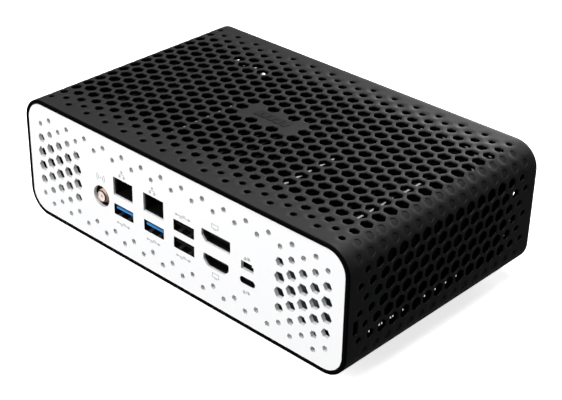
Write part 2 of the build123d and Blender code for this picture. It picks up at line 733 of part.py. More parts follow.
with BuildPart() as stack_housings:
    with BuildSketch(Plane.XZ.offset(SOCKET_FACE)):
        with Locations(*[(x, BOARD_TOP) for x in STACK_X]):
            Rectangle(STACK_WIDTH, STACK_HEIGHT, align=(Align.CENTER, Align.MIN))
        with Locations(*[(x, BLUE_BUS_Z) for x in STACK_X]):
            Rectangle(*BUS_SHELL, mode=Mode.SUBTRACT)
        with Locations(*[(x, NETWORK_Z) for x in STACK_X]):
            Rectangle(*NETWORK_CAVITY, mode=Mode.SUBTRACT)
    extrude(amount=-(SOCKET_FACE + STACK_REAR - STACK_BACK_WALL))
    with BuildSketch(Plane.XZ.offset(-STACK_REAR)):
        with Locations(*[(x, BOARD_TOP) for x in STACK_X]):
            Rectangle(STACK_WIDTH, STACK_HEIGHT, align=(Align.CENTER, Align.MIN))
    extrude(amount=STACK_BACK_WALL)
stack_housings.part.label = "stack_housings"
export_step(stack_housings.part, "parts/stack_housings.step")

CONTACT_COUNT = 8
CONTACT_PITCH = 1.1
CONTACT_WIDTH = 0.4

with BuildPart() as network_contacts:
    for stack_x in STACK_X:
        for index in range(CONTACT_COUNT):
            contact_x = stack_x + (index - (CONTACT_COUNT - 1) / 2) * CONTACT_PITCH
            ceiling = NETWORK_Z + NETWORK_CAVITY[1] / 2
            with BuildSketch(Plane.YZ.offset(contact_x - CONTACT_WIDTH / 2)):
                with BuildLine():
                    Polyline(
                        (-59.0, ceiling),
                        (-59.0, ceiling - 0.5),
                        (-49.0, ceiling - 4.0),
                        (-49.0, ceiling - 3.5),
                        (-57.6, ceiling),
                        close=True,
                    )
                make_face()
            extrude(amount=CONTACT_WIDTH)
network_contacts.part.label = "network_contacts"
export_step(network_contacts.part, "parts/network_contacts.step")


TONGUE_SETBACK = 0.8
TONGUE_RISE = 0.6
BUS_BACK_WALL = 3.0


def build_bus_shells(mouths):
    """Thin rectangular tubes, level with the panel's face; each mouth is (centre, side)."""
    with BuildPart() as shells:
        for centre, side in mouths:
            with BuildSketch(Plane.XZ.offset(-side * PANEL_FACE)):
                with Locations(centre):
                    RectangleRounded(*BUS_SHELL, 0.3)
                    Rectangle(*BUS_INSIDE, mode=Mode.SUBTRACT)
            extrude(amount=side * BUS_DEPTH)
    return shells.part


def build_bus_tongues(mouths):
    """A contact tongue in the upper half of each shell, on a block that closes the shell's rear."""
    with BuildPart() as tongues:
        for (x, z), side in mouths:
            with BuildSketch(Plane.XZ.offset(-side * (PANEL_FACE - TONGUE_SETBACK))):
                with Locations((x, z + TONGUE_RISE)):
                    Rectangle(*BUS_TONGUE)
            extrude(amount=side * (BUS_DEPTH - TONGUE_SETBACK))
            with BuildSketch(Plane.XZ.offset(-side * (PANEL_FACE - BUS_DEPTH + BUS_BACK_WALL))):
                with Locations((x, z)):
                    Rectangle(*BUS_INSIDE)
            extrude(amount=side * BUS_BACK_WALL)
    return tongues.part


REAR = -1
FRONT = 1
blue_mouths = [((x, BLUE_BUS_Z), REAR) for x in STACK_X] + [(FRONT_BUS, FRONT)]
black_mouths = [((BLACK_BUS_X, z), REAR) for z in BLACK_BUS_Z]

blue_socket_shells = build_bus_shells(blue_mouths)
blue_socket_shells.label = "blue_socket_shells"
export_step(blue_socket_shells, "parts/blue_socket_shells.step")

blue_socket_tongues = build_bus_tongues(blue_mouths)
blue_socket_tongues.label = "blue_socket_tongues"
export_step(blue_socket_tongues, "parts/blue_socket_tongues.step")

black_socket_shells = build_bus_shells(black_mouths)
black_socket_shells.label = "black_socket_shells"
export_step(black_socket_shells, "parts/black_socket_shells.step")

black_socket_tongues = build_bus_tongues(black_mouths)
black_socket_tongues.label = "black_socket_tongues"
export_step(black_socket_tongues, "parts/black_socket_tongues.step")

BLACK_HOUSING = (14.6, 17.6, 13.0)

with BuildPart() as black_socket_housing:
    with BuildSketch(Plane.XZ.offset(SOCKET_FACE)):
        with Locations((BLACK_BUS_X, BOARD_TOP)):
            Rectangle(BLACK_HOUSING[0], BLACK_HOUSING[1], align=(Align.CENTER, Align.MIN))
        with Locations(*[centre for centre, side in black_mouths]):
            Rectangle(*BUS_SHELL, mode=Mode.SUBTRACT)
    extrude(amount=-BLACK_HOUSING[2])
black_socket_housing.part.label = "black_socket_housing"
export_step(black_socket_housing.part, "parts/black_socket_housing.step")


# --- Display, keyed and oval sockets ---

VIDEO_DEPTH = 11.0
VIDEO_BACK_WALL = 3.0
VIDEO_RIM = 0.4
VIDEO_BORE = -0.5
VIDEO_TONGUE_SETBACK = 1.2
UPPER_TONGUE = (12.6, 1.3)
LOWER_TONGUE = (10.8, 1.1)
LOWER_TONGUE_RISE = 0.3

with BuildPart() as upper_video_socket:
    with BuildSketch(Plane.XZ.offset(SOCKET_FACE)):
        draw_upper_video(VIDEO_RIM)
        draw_upper_video(VIDEO_BORE, Mode.SUBTRACT)
    extrude(amount=-VIDEO_DEPTH)
    with BuildSketch(Plane.XZ.offset(SOCKET_FACE - VIDEO_DEPTH + VIDEO_BACK_WALL)):
        draw_upper_video(VIDEO_BORE)
    extrude(amount=-VIDEO_BACK_WALL)
upper_video_socket.part.label = "upper_video_socket"
export_step(upper_video_socket.part, "parts/upper_video_socket.step")

with BuildPart() as lower_video_socket:
    with BuildSketch(Plane.XZ.offset(SOCKET_FACE)):
        draw_lower_video(VIDEO_RIM)
        draw_lower_video(VIDEO_BORE, Mode.SUBTRACT)
    extrude(amount=-VIDEO_DEPTH)
    with BuildSketch(Plane.XZ.offset(SOCKET_FACE - VIDEO_DEPTH + VIDEO_BACK_WALL)):
        draw_lower_video(VIDEO_BORE)
    extrude(amount=-VIDEO_BACK_WALL)
lower_video_socket.part.label = "lower_video_socket"
export_step(lower_video_socket.part, "parts/lower_video_socket.step")

with BuildPart() as video_tongues:
    with BuildSketch(Plane.XZ.offset(SOCKET_FACE - VIDEO_TONGUE_SETBACK)):
        with Locations(UPPER_VIDEO):
            Rectangle(*UPPER_TONGUE)
        with Locations((LOWER_VIDEO[0], LOWER_VIDEO[1] + LOWER_TONGUE_RISE)):
            Rectangle(*LOWER_TONGUE)
    extrude(amount=-(VIDEO_DEPTH - VIDEO_BACK_WALL - VIDEO_TONGUE_SETBACK))
video_tongues.part.label = "video_tongues"
export_step(video_tongues.part, "parts/video_tongues.step")

CARRIER_SETBACK = 0.5
CARRIER_DEPTH = 8.0
CARRIER_WIDTHS = (16.0, 9.0, 8.0)
KEYED_RIM = 0.9
KEYED_BORE = -0.2
KEYED_DEPTH = 6.0
KEYED_BACK_WALL = 2.0
KEYED_PIN = (0.5, 1.5, 4.0)
KEYED_PIN_DROP = 0.4

# A plastic carrier lifts the upper sockets off the board
with BuildPart() as socket_carriers:
    with BuildSketch(Plane.XZ.offset(SOCKET_FACE - CARRIER_SETBACK)):
        lower_roof = LOWER_VIDEO[1] + LOWER_VIDEO_SIZE[1] / 2 + VIDEO_RIM
        upper_floor = UPPER_VIDEO[1] - UPPER_VIDEO_SIZE[1] / 2 - VIDEO_RIM
        with Locations((UPPER_VIDEO[0], lower_roof)):
            Rectangle(CARRIER_WIDTHS[0], upper_floor - lower_roof, align=(Align.CENTER, Align.MIN))
        oval_roof = OVAL[1] + OVAL_SIZE[1] / 2
        keyed_floor = KEYED[1] - KEYED_SIZE[1] / 2 - KEYED_RIM
        with Locations((KEYED[0], oval_roof)):
            Rectangle(CARRIER_WIDTHS[1], keyed_floor - oval_roof, align=(Align.CENTER, Align.MIN))
        oval_floor = OVAL[1] - OVAL_SIZE[1] / 2 + 0.1
        with Locations((OVAL[0], BOARD_TOP)):
            Rectangle(CARRIER_WIDTHS[2], oval_floor - BOARD_TOP, align=(Align.CENTER, Align.MIN))
    extrude(amount=-CARRIER_DEPTH)
socket_carriers.part.label = "socket_carriers"
export_step(socket_carriers.part, "parts/socket_carriers.step")

with BuildPart() as keyed_socket:
    with BuildSketch(Plane.XZ.offset(SOCKET_FACE)):
        draw_keyed(KEYED_RIM)
        draw_keyed(KEYED_BORE, Mode.SUBTRACT)
    extrude(amount=-KEYED_DEPTH)
    with BuildSketch(Plane.XZ.offset(SOCKET_FACE - KEYED_DEPTH)):
        draw_keyed(KEYED_RIM)
    extrude(amount=-KEYED_BACK_WALL)
keyed_socket.part.label = "keyed_socket"
export_step(keyed_socket.part, "parts/keyed_socket.step")

with BuildPart() as keyed_pins:
    with BuildSketch(Plane.XZ.offset(SOCKET_FACE - KEYED_DEPTH)):
        with Locations((KEYED[0], KEYED[1] - KEYED_PIN_DROP)):
            with GridLocations(KEYED_PIN[1], 1, 4, 1):
                Rectangle(KEYED_PIN[0], KEYED_PIN[0])
    extrude(amount=KEYED_PIN[2])
keyed_pins.part.label = "keyed_pins"
export_step(keyed_pins.part, "parts/keyed_pins.step")

OVAL_SHELL = (OVAL_SIZE[0] - 0.2, OVAL_SIZE[1] - 0.2)
OVAL_DEPTH = 8.0
OVAL_WALL = 0.3
OVAL_TONGUE = (6.6, 0.7)
oval_mouths = [(OVAL, REAR), (FRONT_OVAL, FRONT)]

with BuildPart() as oval_sockets:
    for centre, side in oval_mouths:
        with BuildSketch(Plane.XZ.offset(-side * PANEL_FACE)):
            with Locations(centre):
                SlotOverall(*OVAL_SHELL)
                SlotOverall(OVAL_SHELL[0] - 2 * OVAL_WALL, OVAL_SHELL[1] - 2 * OVAL_WALL, mode=Mode.SUBTRACT)
        extrude(amount=side * OVAL_DEPTH)
        with BuildSketch(Plane.XZ.offset(-side * (PANEL_FACE - OVAL_DEPTH))):
            with Locations(centre):
                SlotOverall(*OVAL_SHELL)
        extrude(amount=side * 1)
oval_sockets.part.label = "oval_sockets"
export_step(oval_sockets.part, "parts/oval_sockets.step")

with BuildPart() as oval_tongues:
    for centre, side in oval_mouths:
        with BuildSketch(Plane.XZ.offset(-side * (PANEL_FACE - 1))):
            with Locations(centre):
                Rectangle(*OVAL_TONGUE)
        extrude(amount=side * (OVAL_DEPTH - 1))
oval_tongues.part.label = "oval_tongues"
export_step(oval_tongues.part, "parts/oval_tongues.step")


# --- Antenna connector, its lead and the wireless card ---

NUT_FACE = 59.6
NUT_THICKNESS = 1.8
BRACKET_THICKNESS = 2.0
BARREL_END = NUT_FACE - NUT_THICKNESS - BRACKET_THICKNESS
THREAD_RADIUS = 2.75
BARREL_BORE = 2.3
HEX_FLANGE = (4.6, 2.0)
CRIMP = (1.8, 4.0)
PIN_RADIUS = 0.65
PIN_BORE = 0.35
PIN_SETBACK = 1.2
INSULATOR_SETBACK = 0.3
THREAD_CLEARANCE = 0.03
BRACKET_WIDTH = 11.0
BRACKET_TOP = ANTENNA[1] + 6.0

with BuildPart() as antenna_connector:
    with BuildSketch(Plane.XZ.offset(HALF_DEPTH)):
        with Locations(ANTENNA):
            Circle(ANTENNA_BARREL)
    extrude(amount=-(HALF_DEPTH - NUT_FACE))
    with BuildSketch(Plane.XZ.offset(NUT_FACE)):
        with Locations(ANTENNA):
            Circle(THREAD_RADIUS)
    extrude(amount=-(NUT_FACE - BARREL_END))
    with BuildSketch(Plane.XZ.offset(BARREL_END)):
        with Locations(ANTENNA):
            RegularPolygon(HEX_FLANGE[0], 6)
    extrude(amount=-HEX_FLANGE[1])
    with BuildSketch(Plane.XZ.offset(HALF_DEPTH)):
        with Locations(ANTENNA):
            Circle(BARREL_BORE)
    extrude(amount=-(HALF_DEPTH - BARREL_END), mode=Mode.SUBTRACT)
    with BuildSketch(Plane.XZ.offset(BARREL_END - HEX_FLANGE[1])):
        with Locations(ANTENNA):
            Circle(CRIMP[0])
    extrude(amount=-CRIMP[1])
antenna_connector.part.label = "antenna_connector"
export_step(antenna_connector.part, "parts/antenna_connector.step")

with BuildPart() as antenna_insulator:
    with BuildSketch(Plane.XZ.offset(HALF_DEPTH - INSULATOR_SETBACK)):
        with Locations(ANTENNA):
            Circle(BARREL_BORE)
            Circle(PIN_RADIUS, mode=Mode.SUBTRACT)
    extrude(amount=-(HALF_DEPTH - INSULATOR_SETBACK - BARREL_END))
antenna_insulator.part.label = "antenna_insulator"
export_step(antenna_insulator.part, "parts/antenna_insulator.step")

with BuildPart() as antenna_pin:
    with BuildSketch(Plane.XZ.offset(HALF_DEPTH - PIN_SETBACK)):
        with Locations(ANTENNA):
            Circle(PIN_RADIUS)
            Circle(PIN_BORE, mode=Mode.SUBTRACT)
    extrude(amount=-(HALF_DEPTH - PIN_SETBACK - BARREL_END))
antenna_pin.part.label = "antenna_pin"
export_step(antenna_pin.part, "parts/antenna_pin.step")

with BuildPart() as antenna_nut:
    with BuildSketch(Plane.XZ.offset(NUT_FACE)):
        with Locations(ANTENNA):
            RegularPolygon(HEX_FLANGE[0], 6)
            Circle(THREAD_RADIUS + THREAD_CLEARANCE, mode=Mode.SUBTRACT)
    extrude(amount=-NUT_THICKNESS)
antenna_nut.part.label = "antenna_nut"
export_step(antenna_nut.part, "parts/antenna_nut.step")

# A folded steel tab holds the connector off the board
with BuildPart() as antenna_bracket:
    with BuildSketch(Plane.XZ.offset(NUT_FACE - NUT_THICKNESS)):
        with Locations((ANTENNA[0], BOARD_TOP)):
            Rectangle(BRACKET_WIDTH, BRACKET_TOP - BOARD_TOP, align=(Align.CENTER, Align.MIN))
        with Locations(ANTENNA):
            Circle(THREAD_RADIUS + THREAD_CLEARANCE, mode=Mode.SUBTRACT)
    extrude(amount=-BRACKET_THICKNESS)
antenna_bracket.part.label = "antenna_bracket"
export_step(antenna_bracket.part, "parts/antenna_bracket.step")

CARD_X = -78.0
CARD_Y = -42.9
CARD_TOP = 30.2
LEAD_RADIUS = 0.65

with BuildPart() as wireless_card:
    with BuildSketch(Plane.XY.offset(CARD_TOP - 0.8)):
        with Locations((CARD_X + 15, CARD_Y)):
            Rectangle(30, 20)
    extrude(amount=0.8)
    with BuildSketch(Plane.XY.offset(CARD_TOP)):
        with Locations((CARD_X + 13, CARD_Y)):
            RectangleRounded(16, 13, 1)
    extrude(amount=1.3)
wireless_card.part.label = "wireless_card"
export_step(wireless_card.part, "parts/wireless_card.step")

with BuildPart() as wireless_socket:
    with BuildSketch(Plane.XY.offset(BOARD_TOP)):
        with Locations((CARD_X - 1.5, CARD_Y)):
            Rectangle(7, 22)
    extrude(amount=4.1)
    with BuildSketch(Plane.XY.offset(CARD_TOP - 0.8)):
        with Locations((CARD_X, CARD_Y)):
            Rectangle(5.2, 20, align=(Align.MIN, Align.CENTER))
    extrude(amount=0.8, mode=Mode.SUBTRACT)
    with BuildSketch(Plane.XY.offset(BOARD_TOP)):
        with Locations((CARD_X + 28, CARD_Y)):
            Circle(1.8)
    extrude(amount=CARD_TOP - 0.8 - BOARD_TOP)
wireless_socket.part.label = "wireless_socket"
export_step(wireless_socket.part, "parts/wireless_socket.step")

with BuildPart() as antenna_lead:
    with BuildLine() as lead_route:
        FilletPolyline(
            (ANTENNA[0], -(BARREL_END - 6), ANTENNA[1]),
            (ANTENNA[0], -40.5, ANTENNA[1]),
            (CARD_X + 24.5, -40.0, ANTENNA[1] + 0.2),
            (CARD_X + 24.0, CARD_Y, ANTENNA[1]),
            (CARD_X + 24.0, CARD_Y, CARD_TOP),
            radius=1.7,
        )
    with BuildSketch(Plane(origin=lead_route.line @ 0, z_dir=lead_route.line % 0)):
        Circle(LEAD_RADIUS)
    sweep(path=lead_route.line)
antenna_lead.part.label = "antenna_lead"
export_step(antenna_lead.part, "parts/antenna_lead.step")


# --- Memory, drive and clock battery under the board ---

MEMORY_X = 12.0
MEMORY_Z = (15.2, 20.2)
MODULE_SIZE = (28.0, 67.6, 1.2)

with BuildPart() as memory_socket:
    with BuildSketch(Plane.XY.offset(MEMORY_Z[0] - 1.4)):
        with Locations((MEMORY_X, 0)):
            Rectangle(7, 72, align=(Align.MIN, Align.CENTER))
    extrude(amount=BOARD_UNDERSIDE - MEMORY_Z[0] + 1.4)
    for slot_z in MEMORY_Z:
        with BuildSketch(Plane.XY.offset(slot_z)):
            with Locations((MEMORY_X + 3, 0)):
                Rectangle(6, MODULE_SIZE[1], align=(Align.MIN, Align.CENTER))
        extrude(amount=MODULE_SIZE[2], mode=Mode.SUBTRACT)
memory_socket.part.label = "memory_socket"
export_step(memory_socket.part, "parts/memory_socket.step")

with BuildPart() as memory_modules:
    for slot_z in MEMORY_Z:
        with BuildSketch(Plane.XY.offset(slot_z)):
            with Locations((MEMORY_X + 3, 0)):
                Rectangle(MODULE_SIZE[0], MODULE_SIZE[1], align=(Align.MIN, Align.CENTER))
        extrude(amount=MODULE_SIZE[2])
        with BuildSketch(Plane.XY.offset(slot_z)):
            with Locations((MEMORY_X + 20, 0)):
                with GridLocations(1, 14, 1, 4):
                    Rectangle(12, 11)
        extrude(amount=-1.0)
memory_modules.part.label = "memory_modules"
export_step(memory_modules.part, "parts/memory_modules.step")

with BuildPart() as memory_latches:
    with BuildSketch(Plane.XY.offset(MEMORY_Z[0])):
        with GridLocations(1, 2 * (MODULE_SIZE[1] / 2 + 0.9), 1, 2):
            with Locations((MEMORY_X + 7, 0)):
                Rectangle(22, 1.0, align=(Align.MIN, Align.CENTER))
    extrude(amount=BOARD_UNDERSIDE - MEMORY_Z[0])
memory_latches.part.label = "memory_latches"
export_step(memory_latches.part, "parts/memory_latches.step")

DRIVE_SIZE = (69.85, 100.0, 7.0)
DRIVE_X = -30.0
DRIVE_Z = 9.4
DRIVE_Y = 1.5

with BuildPart() as solid_state_drive:
    with BuildSketch(Plane.XY.offset(DRIVE_Z)):
        with Locations((DRIVE_X, DRIVE_Y)):
            RectangleRounded(DRIVE_SIZE[0], DRIVE_SIZE[1], 2.5)
    extrude(amount=DRIVE_SIZE[2])
    chamfer(solid_state_drive.faces().sort_by(Axis.Z)[0].edges(), 0.4)
solid_state_drive.part.label = "solid_state_drive"
export_step(solid_state_drive.part, "parts/solid_state_drive.step")

with BuildPart() as drive_bracket:
    with BuildSketch(Plane.XY.offset(DRIVE_Z + DRIVE_SIZE[2] + 0.1)):
        with Locations((DRIVE_X, DRIVE_Y)):
            RectangleRounded(DRIVE_SIZE[0] + 2 * SHEET + 0.2, 84, 2)
            Rectangle(40, 50, mode=Mode.SUBTRACT)
    extrude(amount=SHEET)
    with BuildSketch(Plane.XY.offset(DRIVE_Z + 1)):
        with Locations((DRIVE_X, DRIVE_Y)):
            with GridLocations(DRIVE_SIZE[0] + SHEET + 0.2, 1, 2, 1):
                Rectangle(SHEET, 80)
    extrude(amount=DRIVE_SIZE[2])
    # Four legs reach up to the board
    with BuildSketch(Plane.XY.offset(DRIVE_Z + DRIVE_SIZE[2] + 0.1)):
        with Locations((DRIVE_X, DRIVE_Y)):
            with GridLocations(60, 70, 2, 2):
                Circle(2.5)
    extrude(amount=BOARD_UNDERSIDE - DRIVE_Z - DRIVE_SIZE[2] - 0.1)
drive_bracket.part.label = "drive_bracket"
export_step(drive_bracket.part, "parts/drive_bracket.step")

with BuildPart() as drive_screws:
    for side in (-1, 1):
        outside = DRIVE_X + side * (DRIVE_SIZE[0] / 2 + SHEET + 0.1)
        with BuildSketch(Plane.YZ.offset(outside)):
            with Locations((DRIVE_Y, DRIVE_Z + 3)):
                with GridLocations(60, 1, 2, 1):
                    Circle(2.2)
        extrude(amount=side * 0.9)
drive_screws.part.label = "drive_screws"
export_step(drive_screws.part, "parts/drive_screws.step")

with BuildPart() as drive_socket:
    with BuildSketch(Plane.XY.offset(DRIVE_Z + 0.6)):
        with Locations((DRIVE_X, DRIVE_Y - DRIVE_SIZE[1] / 2)):
            Rectangle(38, 4, align=(Align.CENTER, Align.MAX))
    extrude(amount=BOARD_UNDERSIDE - DRIVE_Z - 0.6)
drive_socket.part.label = "drive_socket"
export_step(drive_socket.part, "parts/drive_socket.step")

CELL = (56.0, 26.0)

with BuildPart() as coin_cell_holder:
    with BuildSketch(Plane.XY.offset(BOARD_UNDERSIDE - 5)):
        with Locations(CELL):
            Circle(11.5)
            Circle(10.1, mode=Mode.SUBTRACT)
    extrude(amount=4)
    with BuildSketch(Plane.XY.offset(BOARD_UNDERSIDE - 1)):
        with Locations(CELL):
            Circle(11.5)
    extrude(amount=1)
coin_cell_holder.part.label = "coin_cell_holder"
export_step(coin_cell_holder.part, "parts/coin_cell_holder.step")

with BuildPart() as coin_cell:
    with BuildSketch(Plane.XY.offset(BOARD_UNDERSIDE - 4.4)):
        with Locations(CELL):
            Circle(10)
    extrude(amount=3.2)
coin_cell.part.label = "coin_cell"
export_step(coin_cell.part, "parts/coin_cell.step")


# --- Front controls and sockets ---

with BuildPart() as power_button:
    with BuildSketch(Plane.XZ.offset(-HALF_DEPTH)):
        with Locations(BUTTON):
            Circle(BUTTON_RADIUS)
    extrude(amount=HALF_DEPTH - PANEL_BACK + 0.3)
    fillet(power_button.faces().sort_by(Axis.Y)[-1].edges(), 0.15)
    with BuildSketch(Plane.XZ.offset(-(PANEL_BACK - 0.3))):
        with Locations(BUTTON):
            Circle(BUTTON_RADIUS + 1.3)
    extrude(amount=1.2)
    with BuildSketch(Plane.XZ.offset(-(PANEL_BACK - 1.5))):
        with Locations(BUTTON):
            Circle(1.6)
    extrude(amount=1.5)
power_button.part.label = "power_button"
export_step(power_button.part, "parts/power_button.step")

SWITCH_FACE = PANEL_BACK - 1.5 - 1.5 - 1.1

with BuildPart() as button_switch:
    with BuildSketch(Plane.XZ.offset(-SWITCH_FACE)):
        with Locations(BUTTON):
            Circle(1.2)
    extrude(amount=0.8)
    with BuildSketch(Plane.XZ.offset(-SWITCH_FACE + 0.8)):
        with Locations(BUTTON):
            Rectangle(6, 6)
    extrude(amount=3)
    # Riser board that carries the switch and the lights
    with BuildSketch(Plane.XZ.offset(-SWITCH_FACE + 3.8)):
        with Locations((BUTTON[0] - 7, BOARD_TOP)):
            Rectangle(28, 26, align=(Align.CENTER, Align.MIN))
    extrude(amount=1.2)
button_switch.part.label = "button_switch"
export_step(button_switch.part, "parts/button_switch.step")

with BuildPart() as light_guides:
    with BuildSketch(Plane.XZ.offset(-PANEL_FACE)):
        with Locations(*[(x, LIGHTS_Z) for x in LIGHTS_X]):
            Circle(LIGHT_RADIUS)
    extrude(amount=PANEL_FACE - SWITCH_FACE + 3.8)
light_guides.part.label = "light_guides"
export_step(light_guides.part, "parts/light_guides.step")

with BuildPart() as audio_jacks:
    with BuildSketch(Plane.XZ.offset(-(PANEL_BACK - 0.1))):
        with Locations(*[(x, BOARD_TOP) for x in AUDIO_X]):
            Rectangle(8, 7.4, align=(Align.CENTER, Align.MIN))
    extrude(amount=13)
    with BuildSketch(Plane.XZ.offset(-(PANEL_FACE - 0.2))):
        with Locations(*[(x, AUDIO_Z) for x in AUDIO_X]):
            Circle(3.1)
    extrude(amount=PANEL_FACE - PANEL_BACK)
    with BuildSketch(Plane.XZ.offset(-PANEL_FACE)):
        with Locations(*[(x, AUDIO_Z) for x in AUDIO_X]):
            Circle(1.8)
    extrude(amount=13, mode=Mode.SUBTRACT)
audio_jacks.part.label = "audio_jacks"
export_step(audio_jacks.part, "parts/audio_jacks.step")

with BuildPart() as card_socket:
    with BuildSketch(Plane.XZ.offset(-(PANEL_BACK - 0.1))):
        with Locations((CARD[0], BOARD_TOP)):
            Rectangle(28, 4.6, align=(Align.CENTER, Align.MIN))
        with Locations(CARD):
            Rectangle(CARD_SIZE[0] - 0.6, 2.3, mode=Mode.SUBTRACT)
    extrude(amount=16)
    with BuildSketch(Plane.XZ.offset(-(PANEL_BACK - 16.1))):
        with Locations((CARD[0], BOARD_TOP)):
            Rectangle(28, 4.6, align=(Align.CENTER, Align.MIN))
    extrude(amount=1)
card_socket.part.label = "card_socket"
export_step(card_socket.part, "parts/card_socket.step")
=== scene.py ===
"""Fanless mini PC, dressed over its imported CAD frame: honeycomb sleeve, two white end panels with
their sockets, the board, the finned cooler, and what hangs under the board. Metres, Z up."""

import math

import bpy
import numpy as np
from mathutils import Matrix


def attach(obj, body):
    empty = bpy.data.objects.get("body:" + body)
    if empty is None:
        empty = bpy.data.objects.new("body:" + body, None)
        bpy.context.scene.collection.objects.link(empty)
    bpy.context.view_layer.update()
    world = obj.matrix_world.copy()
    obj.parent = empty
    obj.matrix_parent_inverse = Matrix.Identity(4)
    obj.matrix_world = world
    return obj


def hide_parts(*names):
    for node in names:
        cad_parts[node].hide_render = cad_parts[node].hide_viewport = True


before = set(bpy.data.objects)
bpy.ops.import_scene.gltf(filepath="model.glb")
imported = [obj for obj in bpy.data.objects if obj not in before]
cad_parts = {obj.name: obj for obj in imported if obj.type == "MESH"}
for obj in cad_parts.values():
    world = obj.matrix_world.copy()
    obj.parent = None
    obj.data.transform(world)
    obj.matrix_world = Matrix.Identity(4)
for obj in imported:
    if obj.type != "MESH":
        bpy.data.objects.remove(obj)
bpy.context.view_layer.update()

# ---------------------------------------------------------------- Sleeve
# The sleeve is one thin black moulding bent round all four long edges. Its honeycomb goes right
# through the flat walls, shrinks to small holes at both mouths, and is only pressed in as shallow
# pockets where the walls curve. Every hole's mouth is eased by a small bevel.

MM = 0.001
PITCH = 7.5
COLUMN = PITCH * math.sqrt(3) / 2
WALL = 2.0
# Cross-section of the sleeve: half of its flat top, its bends, its upright walls, and its top
HALF_FLAT = 90
BEND = 12
UPRIGHT = 38
TOP = 68
ARC = BEND * math.pi / 2
LOW_BEND = TOP - BEND - UPRIGHT
# Where the honeycomb stops: along the sleeve, and round it where the plain floor begins
LAST_HOLE = 61.5
FLOOR_EDGE = 167.47
MOUTH = 64
LOCK_SLOT = (133.85, -58.5)
# Signs of x and y, and the first angle, of a rounded rectangle's four corners
QUARTERS = ((1, 1, 0), (-1, 1, math.pi / 2), (-1, -1, math.pi), (1, -1, 1.5 * math.pi))


def sleeve_profile(s, depth):
    """Across the sleeve: s runs along the outer outline from the middle of the top, and depth goes
    in from it. Flat, quarter circle, upright wall, quarter circle, flat."""
    a = np.abs(s)
    upper = np.clip((a - HALF_FLAT) / BEND, 0, math.pi / 2)
    lower = np.clip((a - HALF_FLAT - ARC - UPRIGHT) / BEND, 0, math.pi / 2)
    side = np.clip(a - HALF_FLAT - ARC, 0, UPRIGHT)
    back = np.clip(a - HALF_FLAT - 2 * ARC - UPRIGHT, 0, None)
    turn = upper + lower
    x = np.minimum(a, HALF_FLAT) + BEND * np.sin(turn) - back
    z = TOP - BEND + BEND * np.cos(upper) - side - BEND * np.sin(lower)
    z = np.where(lower > 0, LOW_BEND - BEND * np.sin(lower), z)
    x = np.where(lower > 0, HALF_FLAT + BEND * np.cos(lower) - back, x)
    return np.sign(s) * (x - depth * np.sin(turn)), z - depth * np.cos(turn)


def on_sleeve(s, y, depth):
    """Points in millimetres of the sleeve at (s, y), this deep under its outer surface."""
    x, z = sleeve_profile(s, depth)
    return np.stack(np.broadcast_arrays(x, y, z), -1)


def band(first, second, closed=True):
    """Quads between two rows of point numbers, facing out when the rows run anticlockwise inwards."""
    if closed:
        first = np.concatenate([first, first[..., :1]], -1)
        second = np.concatenate([second, second[..., :1]], -1)
    quads = np.stack([first[..., :-1], first[..., 1:], second[..., 1:], second[..., :-1]], -1)
    return quads.reshape(-1, 4)


def add_mesh(name, points, faces, crease=35):
    """A mesh object from points in millimetres and a list of face arrays, smooth below the crease."""
    mesh = bpy.data.meshes.new(name)
    corners = (np.asarray(points).reshape(-1, 3) * MM).tolist()
    mesh.from_pydata(corners, [], [face for group in faces for face in np.asarray(group).tolist()])
    mesh.update()
    mesh.shade_smooth()
    mesh.set_sharp_from_angle(angle=math.radians(crease))
    piece = bpy.data.objects.new(name, mesh)
    bpy.context.scene.collection.objects.link(piece)
    return piece


def honeycomb_cells():
    """Cell numbers, centres, corner points (cell, point, 2), hole sizes, and which cells are pockets or
    solid, of the unrolled sleeve.
    """
    middle = 37
    pockets_up = HALF_FLAT + BEND * np.radians([30.0, 57.7])
    walls = HALF_FLAT + ARC + TOP - BEND - (middle + COLUMN * np.arange(3, -3, -1))
    pockets_low = HALF_FLAT + ARC + UPRIGHT + BEND * np.radians([2.4, 30.1, 57.8])
    half = np.concatenate([COLUMN * np.arange(15), pockets_up, walls, pockets_low, [165.3, 171.8]])
    at = np.concatenate([-half[:0:-1], half])
    column, row = np.meshgrid(np.arange(-26, 27), np.arange(-17, 18), indexing="ij")
    keep = (column + row) % 2 == 1
    column, row = column[keep], row[keep]
    centre = np.stack([at[column + 27], row * PITCH / 2], -1)
    right = (at[column + 28] - centre[:, 0])[:, None]
    left = (centre[:, 0] - at[column + 26])[:, None]
    reach = np.concatenate([right * 2, right, -left, -left * 2, -left, right], 1) / 3
    rise = np.array([0, 0.5, 0.5, 0, -0.5, -0.5]) * PITCH
    corners = centre[:, None] + np.stack([reach, np.broadcast_to(rise, reach.shape)], -1)
    corners[..., 1] = np.clip(corners[..., 1], -LAST_HOLE, LAST_HOLE)
    corners[..., 0] = np.clip(corners[..., 0], -FLOOR_EDGE, FLOOR_EDGE)
    a, r = np.abs(column), np.abs(row)
    # Holes are 5.9 across, and smaller in the last five rows before each mouth
    size = np.select([r == n for n in (15, 14, 13, 12, 11)], [3.1, 3.2, 4.2, 4.8, 5.4], 5.9)
    pocket = np.isin(a, [15, 16, 23, 24, 25])
    size = np.where(pocket, np.minimum(size, 3.8), size)
    # Solid cells: past the last row, over the floor's edge, and the patch in the middle of the top
    blank = (r > 15) | (a == 26) | ((a == 0) & (r == 1)) | ((a == 1) & (r == 0)) | ((a == 2) & (r == 1))
    return column, row, centre, corners, size, pocket, blank


def split_sides(corners):
    """Each polygon side cut into three equal parts."""
    step = np.roll(corners, -1, 1) - corners
    parts = [corners + step * t for t in (0, 1 / 3, 2 / 3)]
    return np.stack(parts, 2).reshape(len(corners), -1, 2)


